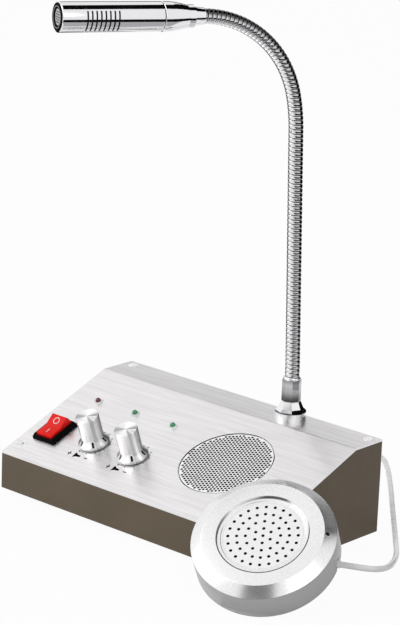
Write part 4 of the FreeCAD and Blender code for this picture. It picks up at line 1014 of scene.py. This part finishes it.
def dial_ticks():
    """Scale round each knob, and the plus, horn and minus signs below it."""
    places = [on_slope(x, KNOB_S) @ turn(-105 + 30 * k, "Z") @ place(x=9.75)
              for x in KNOBS.values() for k in range(7)]
    meshes = [repeated("dial_ticks", block(-0.6, 0.6, -0.24, 0.24, 0.0, INK), places, BLACK_INK)]
    turns = [math.radians(-112 + 5 * k) for k in range(31)]
    arc = ([(9.4 * math.cos(a), 9.4 * math.sin(a)) for a in turns]
           + [(9.1 * math.cos(a), 9.1 * math.sin(a)) for a in reversed(turns)])
    horn = [(-2.0, -2.1), (0.2, -0.85), (2.4, -0.65), (2.4, 0.65), (0.2, 0.85), (-2.0, 2.1)]
    bars = [(-6.6, -4.2, -0.3, 0.3), (-5.7, -5.1, -1.5, 1.5), (5.3, 7.6, -0.32, 0.32)]
    for x in KNOBS.values():
        meshes.append(mesh_of("arc", slab(arc, 0.0, INK), on_slope(x, KNOB_S)))
        for sign in [block(*bar, 0.0, INK) for bar in bars] + [slab(horn, 0.0, INK)]:
            meshes.append(mesh_of("sign", sign, on_slope(x - 1.3, 14.9)))
    piece("dial_marks", joined("dial_marks", meshes), BLACK_INK, "base")


def bezel():
    shell = stack([(6.4, 9.5, 0.3, -13.0), (6.4, 9.5, 0.3, 0.0), (8.15, 9.9, 1.2, 0.0),
                   (8.25, 10.0, 1.3, 0.1), (8.25, 10.0, 1.3, 0.8), (8.1, 9.85, 1.3, 1.2),
                   (7.45, 9.25, 1.2, 2.35), (7.2, 9.05, 1.1, 2.6), (6.0, 8.95, 0.5, 2.6),
                   (5.85, 8.85, 0.4, 2.45), (5.85, 8.85, 0.4, -6.9)])
    axle = turned_by(spin([(0, -6.6), (1.25, -6.6), (1.25, 6.6), (0, 6.6)], 24),
                     Matrix.Translation((0, 0, ROCKER_PIVOT)) @ turn(90, "Y"))
    mesh = mesh_of("switch_bezel", carved(shell, [axle]), on_slope(SWITCH_X, SWITCH_S), 35.0)
    piece("switch_bezel", mesh, MATT_BLACK, "base", ("switch_housing",))


def rocker():
    tilt, reach, rise, corner_y, sign_y = math.radians(ROCKER_TILT), 8.35, 2.9, 7.09, 3.75
    start = math.atan2(rise + corner_y * math.tan(tilt), corner_y)
    turns = [start + (-tilt - start) * k / 12 for k in range(13)]
    right = [(reach * math.cos(a), reach * math.sin(a)) for a in turns] + [(4.5, -3.6)]
    outline = [(0.0, rise)] + right + [(-y, z) for y, z in right[::-1]]
    paddle = slab(outline, -5.5, 5.5)
    soften(paddle, 0.28, 3, 18.0)
    across = Matrix(((0, 0, 1, 0), (1, 0, 0, 0), (0, 1, 0, 0), (0, 0, 0, 1)))
    where = on_slope(SWITCH_X, SWITCH_S) @ place(z=ROCKER_PIVOT) @ turn(ROCKER_TILT, "X")
    pins = mesh_of("pins", spin([(0, -6.55), (1.2, -6.55), (1.2, 6.55), (0, 6.55)], 24),
                   where @ turn(90, "Y"))
    body = joined("rocker_paddle", [mesh_of("paddle", paddle, where @ across), pins])
    piece("rocker_paddle", body, RED, "rocker", ("rocker",))
    ring = spin([(1.6, 0.0), (2.05, 0.0), (2.05, 0.04), (1.6, 0.04)], 48, closed=True)
    signs = []
    for side, made in ((1, ring), (-1, block(-0.24, 0.24, -1.5, 1.5, 0.0, 0.04))):
        face = (where @ place(y=sign_y * side, z=rise + sign_y * math.tan(tilt))
                @ turn(ROCKER_TILT * side, "X"))
        signs.append(mesh_of("sign", made, face))
    piece("rocker_signs", joined("rocker_signs", signs), WHITE_INK, "rocker")


# ---- gooseneck

JOINTS_AT = [round(NECK_LENGTH * i, 2) for i in range(4)]
WIDE_START = JOINTS_AT[3] + NECK_LAST
TIGHT_ARC = math.radians(TIGHT_TURN) * TIGHT_RADIUS
JOINTS_AT.append(WIDE_START + math.radians(WIDE_TURN) * WIDE_RADIUS)
JOINTS_AT.append(JOINTS_AT[4] + TIGHT_ARC)
NECK_END = JOINTS_AT[5] + TIGHT_ARC
NECK_FOOT, HEAD_OVERLAP, BEND_REACH, FOOT_REACH, CORE_RADIUS = -7.5, 3.2, 16.0, 6.0, 3.25
NECK_SIDE = NECK_FIRST.col[1].to_3d().normalized()


def neck_point(length):
    """Point of the neck's middle line at a length from the first joint."""
    frames = neck_frames()
    if length < 0:
        return (on_flat(NECK_X, NECK_Y) @ place(z=NECK_PIVOT + length)).translation
    if length <= WIDE_START:
        return (NECK_FIRST @ place(z=length)).translation
    for start, end, base, radius in (
            (WIDE_START, JOINTS_AT[4], frames[3] @ place(z=NECK_LAST), WIDE_RADIUS),
            (JOINTS_AT[4], JOINTS_AT[5], frames[4], TIGHT_RADIUS),
            (JOINTS_AT[5], NECK_END, frames[5], TIGHT_RADIUS)):
        if length <= end:
            return (base @ arc_end(radius, math.degrees((length - start) / radius))).translation
    return (frames[6] @ place(z=length - NECK_END)).translation


def gooseneck():
    """Six wound lengths, each across one joint."""
    count = 460
    ends = (NECK_FOOT, NECK_END + HEAD_OVERLAP)
    spots = [neck_point(ends[0] + (ends[1] - ends[0]) * k / count) for k in range(count + 1)]
    middles = [(a + b) / 2 for a, b in zip(JOINTS_AT, JOINTS_AT[1:])]
    cuts = [ends[0]] + middles + [ends[1]]
    for k, joint in enumerate(JOINTS_AT):
        path = bpy.data.curves.new("neck_path", "CURVE")
        path.dimensions = "3D"
        line = path.splines.new("POLY")
        line.points.add(count)
        for spot, point in zip(line.points, spots):
            spot.co = (*point, 1.0)
        name = "neck_winding_%d" % (k + 1)
        mesh = SPIRAL.grow(name, path, NECK_CHROME_PAINTED_SHADE, Start=(cuts[k] - ends[0]) * MM,
                           End=(cuts[k + 1] - ends[0]) * MM, Side=tuple(NECK_SIDE))
        shape = bmesh.new()
        shape.from_mesh(mesh)
        outward(shape)
        shape.to_mesh(mesh)
        shape.free()
        nodes = ["neck_length_%d" % (k + 1)] + (["neck_stub"] if k == 0 else [])
        made = piece(name, mesh, NECK_CHROME_PAINTED_SHADE, None, nodes)
        core = piece("neck_core_%d" % (k + 1), lining(cuts[k], cuts[k + 1]), BLACK, None)
        before = BEND_REACH if k else FOOT_REACH
        for part in (made, core):
            neck_point(joint - before)
            neck_point(joint + BEND_REACH)
            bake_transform(part)
    turned_piece("neck_collar", [
        (3.95, 20.9), (4.3, 20.9), (4.62, 21.35), (4.72, 21.9), (4.62, 22.45), (4.3, 22.85),
        (3.95, 22.95)], 64, on_flat(NECK_X, NECK_Y), CHROME, sharp=60.0)


def lining(start, end):
    """Dark core inside the winding, which shows in its grooves."""
    made, rows = bmesh.new(), []
    rings, sides = 60, 20
    for i in range(rings + 1):
        length = start + (end - start) * i / rings
        here = neck_point(length)
        ahead = (neck_point(length + 0.5) - neck_point(length - 0.5)).normalized()
        other = NECK_SIDE.cross(ahead)
        rows.append([made.verts.new((here + (NECK_SIDE * math.cos(a) + other * math.sin(a))
                                     * CORE_RADIUS * MM) / MM)
                     for a in (2 * math.pi * j / sides for j in range(sides))])
    walls(made, rows)
    return mesh_of("core", made, Matrix.Identity(4))


# ---- microphone

SLEEVE_LENGTH, SLOT_TURN = 23.0, 62
SLOT_COUNT, SLOT_PITCH, SLOT_WIDTH, SLOT_TOP = 8, 2.37, 0.85, 54.4 - 13.5 + 0.8


def microphone():
    head = neck_frames()[6]
    barrel = head @ place(z=SLEEVE_LENGTH)
    swell = smooth_profile([(0.25, 4.4), (5.5, 5.05), (11.9, 6.62), (18.0, 7.62),
                            (22.6, 7.75)], 10)
    turned_piece("mic_sleeve_shell", [(4.02, 6.1), (4.02, 0.0), (4.25, 0.0)] + swell + [
        (7.75, 22.72), (7.68, 22.9), (7.5, 23.0), (6.0, 23.0), (6.0, 6.1)], 128, head, CHROME,
        ("mic_sleeve",), "head", 40.0)
    tube = spin([(6.95, 0.4), (7.5, 0.4), (7.68, 0.5), (7.75, 0.75), (7.75, 0.95), (7.75, 53.75),
                 (7.75, 54.0), (7.68, 54.25), (7.5, 54.4), (6.95, 54.4)], 128, closed=True)
    reach, half, slots = 16.0, math.radians(60.0), []
    out, up = reach * math.cos(half), reach * math.sin(half)
    for k in range(SLOT_COUNT):
        top = SLOT_TOP - SLOT_PITCH * k
        for side in (1, -1):
            wedge = [(0.1 * side, 0.0), (side * out, -up), (side * reach * 1.4, 0.0),
                     (side * out, up)]
            slots.append(slab(wedge, top - SLOT_WIDTH, top))
    mesh = mesh_of("barrel", carved(tube, slots), barrel @ turn(SLOT_TURN, "Z"), 40.0)
    piece("mic_barrel_tube", mesh, CHROME, "head", ("mic_barrel",))
    turned_piece("mic_liner", [(6.0, 1.0), (6.85, 1.0), (6.85, 51.0), (6.0, 51.0)], 64, barrel,
                 FOAM, body="head")
    turned_piece("mic_face_ring", [
        (4.1, 51.2), (6.92, 51.2), (7.2, 54.35), (7.1, 54.7), (6.7, 54.85), (5.5, 54.75),
        (4.3, 54.55), (4.1, 54.4)], 96, barrel, MATT_BLACK, ("mic_tip_ring",),
        "head", 50.0)
    turned_piece("mic_face_line", [(5.3, 54.5), (5.55, 54.5), (5.55, 54.85), (5.3, 54.83)], 96,
                 barrel, NICKEL, body="head")
    disc = SIEVE.grow("mic_sheet", EMPTY.copy(), NICKEL, Sheet=4.15 * MM, Field=3.6 * MM,
                      Hole=0.5 * MM, Pitch=1.4 * MM, Thick=0.3 * MM, Rows=9, Sides=10)
    disc.transform(barrel @ place(z=54.3))
    piece("mic_face_sheet", disc, NICKEL, "head", ("mic_tip_grille",))
    turned_piece("mic_backing", [(0.0, 53.6), (4.05, 53.6), (4.05, 53.95), (0.0, 53.95)], 48,
                 barrel, FOAM, body="head", closed=False)


# ---- customer's station

HOLE_RINGS = ((0, 1), (1, 6), (2, 12), (3, 20), (4, 24))


def station_tree():
    """Round sheet with rings of holes, each ring given by its number and count."""
    tree = Tree("ringed_sheet", Sheet=20.0 * MM, Hole=0.84 * MM, Pitch=4.37 * MM,
                Thick=1.2 * MM, Sides=16)
    given = tree.given
    hole = tree.step("CurvePrimitiveCircle", Resolution=given("Sides"), Radius=given("Hole"))
    outlines = []
    for number, count in HOLE_RINGS:
        if number:
            ring = tree.step("CurvePrimitiveCircle", Resolution=count,
                             Radius=tree.math("MULTIPLY", given("Pitch"), float(number)))
            spots = tree.step("Transform", ring, Rotation=(0, 0, math.radians(90.0 + DISH_TURN)))
        else:
            spots = tree.step("MeshLine", Count=1)
        outlines.append(tree.step("InstanceOnPoints", spots, Instance=hole))
    return punched(tree, outlines)


def station():
    where = on_station()
    rim = spin([(23.3, -1.6), (23.3, 0.0), (30.4, 0.0), (30.62, -0.03),
                (30.8, -0.12), (36.1, -3.5), (36.32, -3.66), (36.3, -3.7), (33.9, -3.7),
                (30.6, -1.6)], 160, closed=True)
    hole = turned_by(spin([(0, -3.5), (1.1, -3.5), (1.1, 3.5), (0, 3.5)], 32), pin_hole())
    piece("station_ring", mesh_of("rim", carved(rim, [hole]), where, 25.0), STATION_METAL,
          "base", ("station_rim",))
    disc = RINGED.grow("station_sheet", EMPTY.copy(), STATION_METAL)
    disc.transform(where @ place(z=-1.45))
    edge = mesh_of("dish_edge", spin(
        [(19.9, -2.65), (19.9, -1.45), (20.75, -1.45), (20.9, -1.42), (21.2, -1.05),
         (21.4, -1.0), (24.5, -1.0), (24.5, -3.6), (19.9, -3.6)],
        128, closed=True), where, 25.0)
    piece("station_dish", joined("station_dish", [disc, edge]), STATION_METAL, "base",
          ("station_grille",))
    # The groove ring's finish holds painted shade and painted reflection arcs.
    turned_piece("station_groove", [(22.7, -1.0), (22.7, -0.1), (22.8, -0.02), (23.32, -0.01),
                                    (23.32, -1.2)], 160, where, GROOVE_PAINTED_SHADE,
                 sharp=25.0)
    turned_piece("station_cloth", [(0, -3.3), (19.8, -3.3), (19.8, -3.0), (0, -3.0)], 64, where,
                 FOAM, closed=False)
    cup = spin([(0.0, -18.3), (36.0, -18.3), (36.28, -18.2), (36.4, -17.95), (36.4, -4.15),
                (36.3, -3.92), (36.0, -3.82), (34.8, -3.8), (34.8, -16.7), (0.0, -16.7)], 160)
    notch = turned_by(block(-4.2, 4.2, -2.1, 2.1, -1.0, 5.4),
                      turn(0.5, "Z") @ Matrix.Translation((STATION_RADIUS, 0, -STATION_DEPTH)))
    piece("station_cup_shell", mesh_of("cup", carved(cup, [notch]), where, 30.0), STATION_SIDE,
          "base", ("station_cup",))


def pin_hole():
    lean = math.atan2(STATION_BEVEL, STATION_RADIUS - STATION_FACE)
    depth = (PIN_HOLE_AT - STATION_FACE) * math.tan(lean)
    return (turn(PIN_HOLE_TURN, "Z") @ Matrix.Translation((PIN_HOLE_AT, 0, -depth))
            @ Matrix.Rotation(lean, 4, "Y"))


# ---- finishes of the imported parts

NODE_FINISHES = (
    (FACE, "face_plate"), (TAUPE, "case_shell bottom_cover"), (RUBBER, "rubber_feet"),
    (STEEL, "speaker_basket knob_shaft_left volume_pot_left knob_shaft_right volume_pot_right "
            "neck_stem neck_lock_nut mic_capsule"),
    (PAPER, "speaker_cone station_driver"), (MAGNET, "speaker_magnet"),
    (NICKEL, "pot_nuts switch_tabs socket_nuts"), (LENS, "lamp_rings"), (RED_LAMP, "lamp_power"),
    (GREEN_LAMP, "lamp_out lamp_in"), (SATIN, "neck_washer"), (NUT_CHROME_PAINTED_SHADE, "neck_nut"),
    (BLACK, "station_mic amplifier_chip capacitors station_socket record_socket power_socket "
            "cord_plug"),
    (PAD_GREY, "station_pad"), (BOARD, "main_board"),
)


def finish_nodes():
    for finish, names in NODE_FINISHES:
        for name in names.split():
            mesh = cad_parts[name].data
            mesh.materials.clear()
            mesh.materials.append(finish.material)


RINGED = station_tree()
studio()
cord()
finish_nodes()
screws()
grille()
knobs()
dial_ticks()
bezel()
rocker()
gooseneck()
microphone()
station()
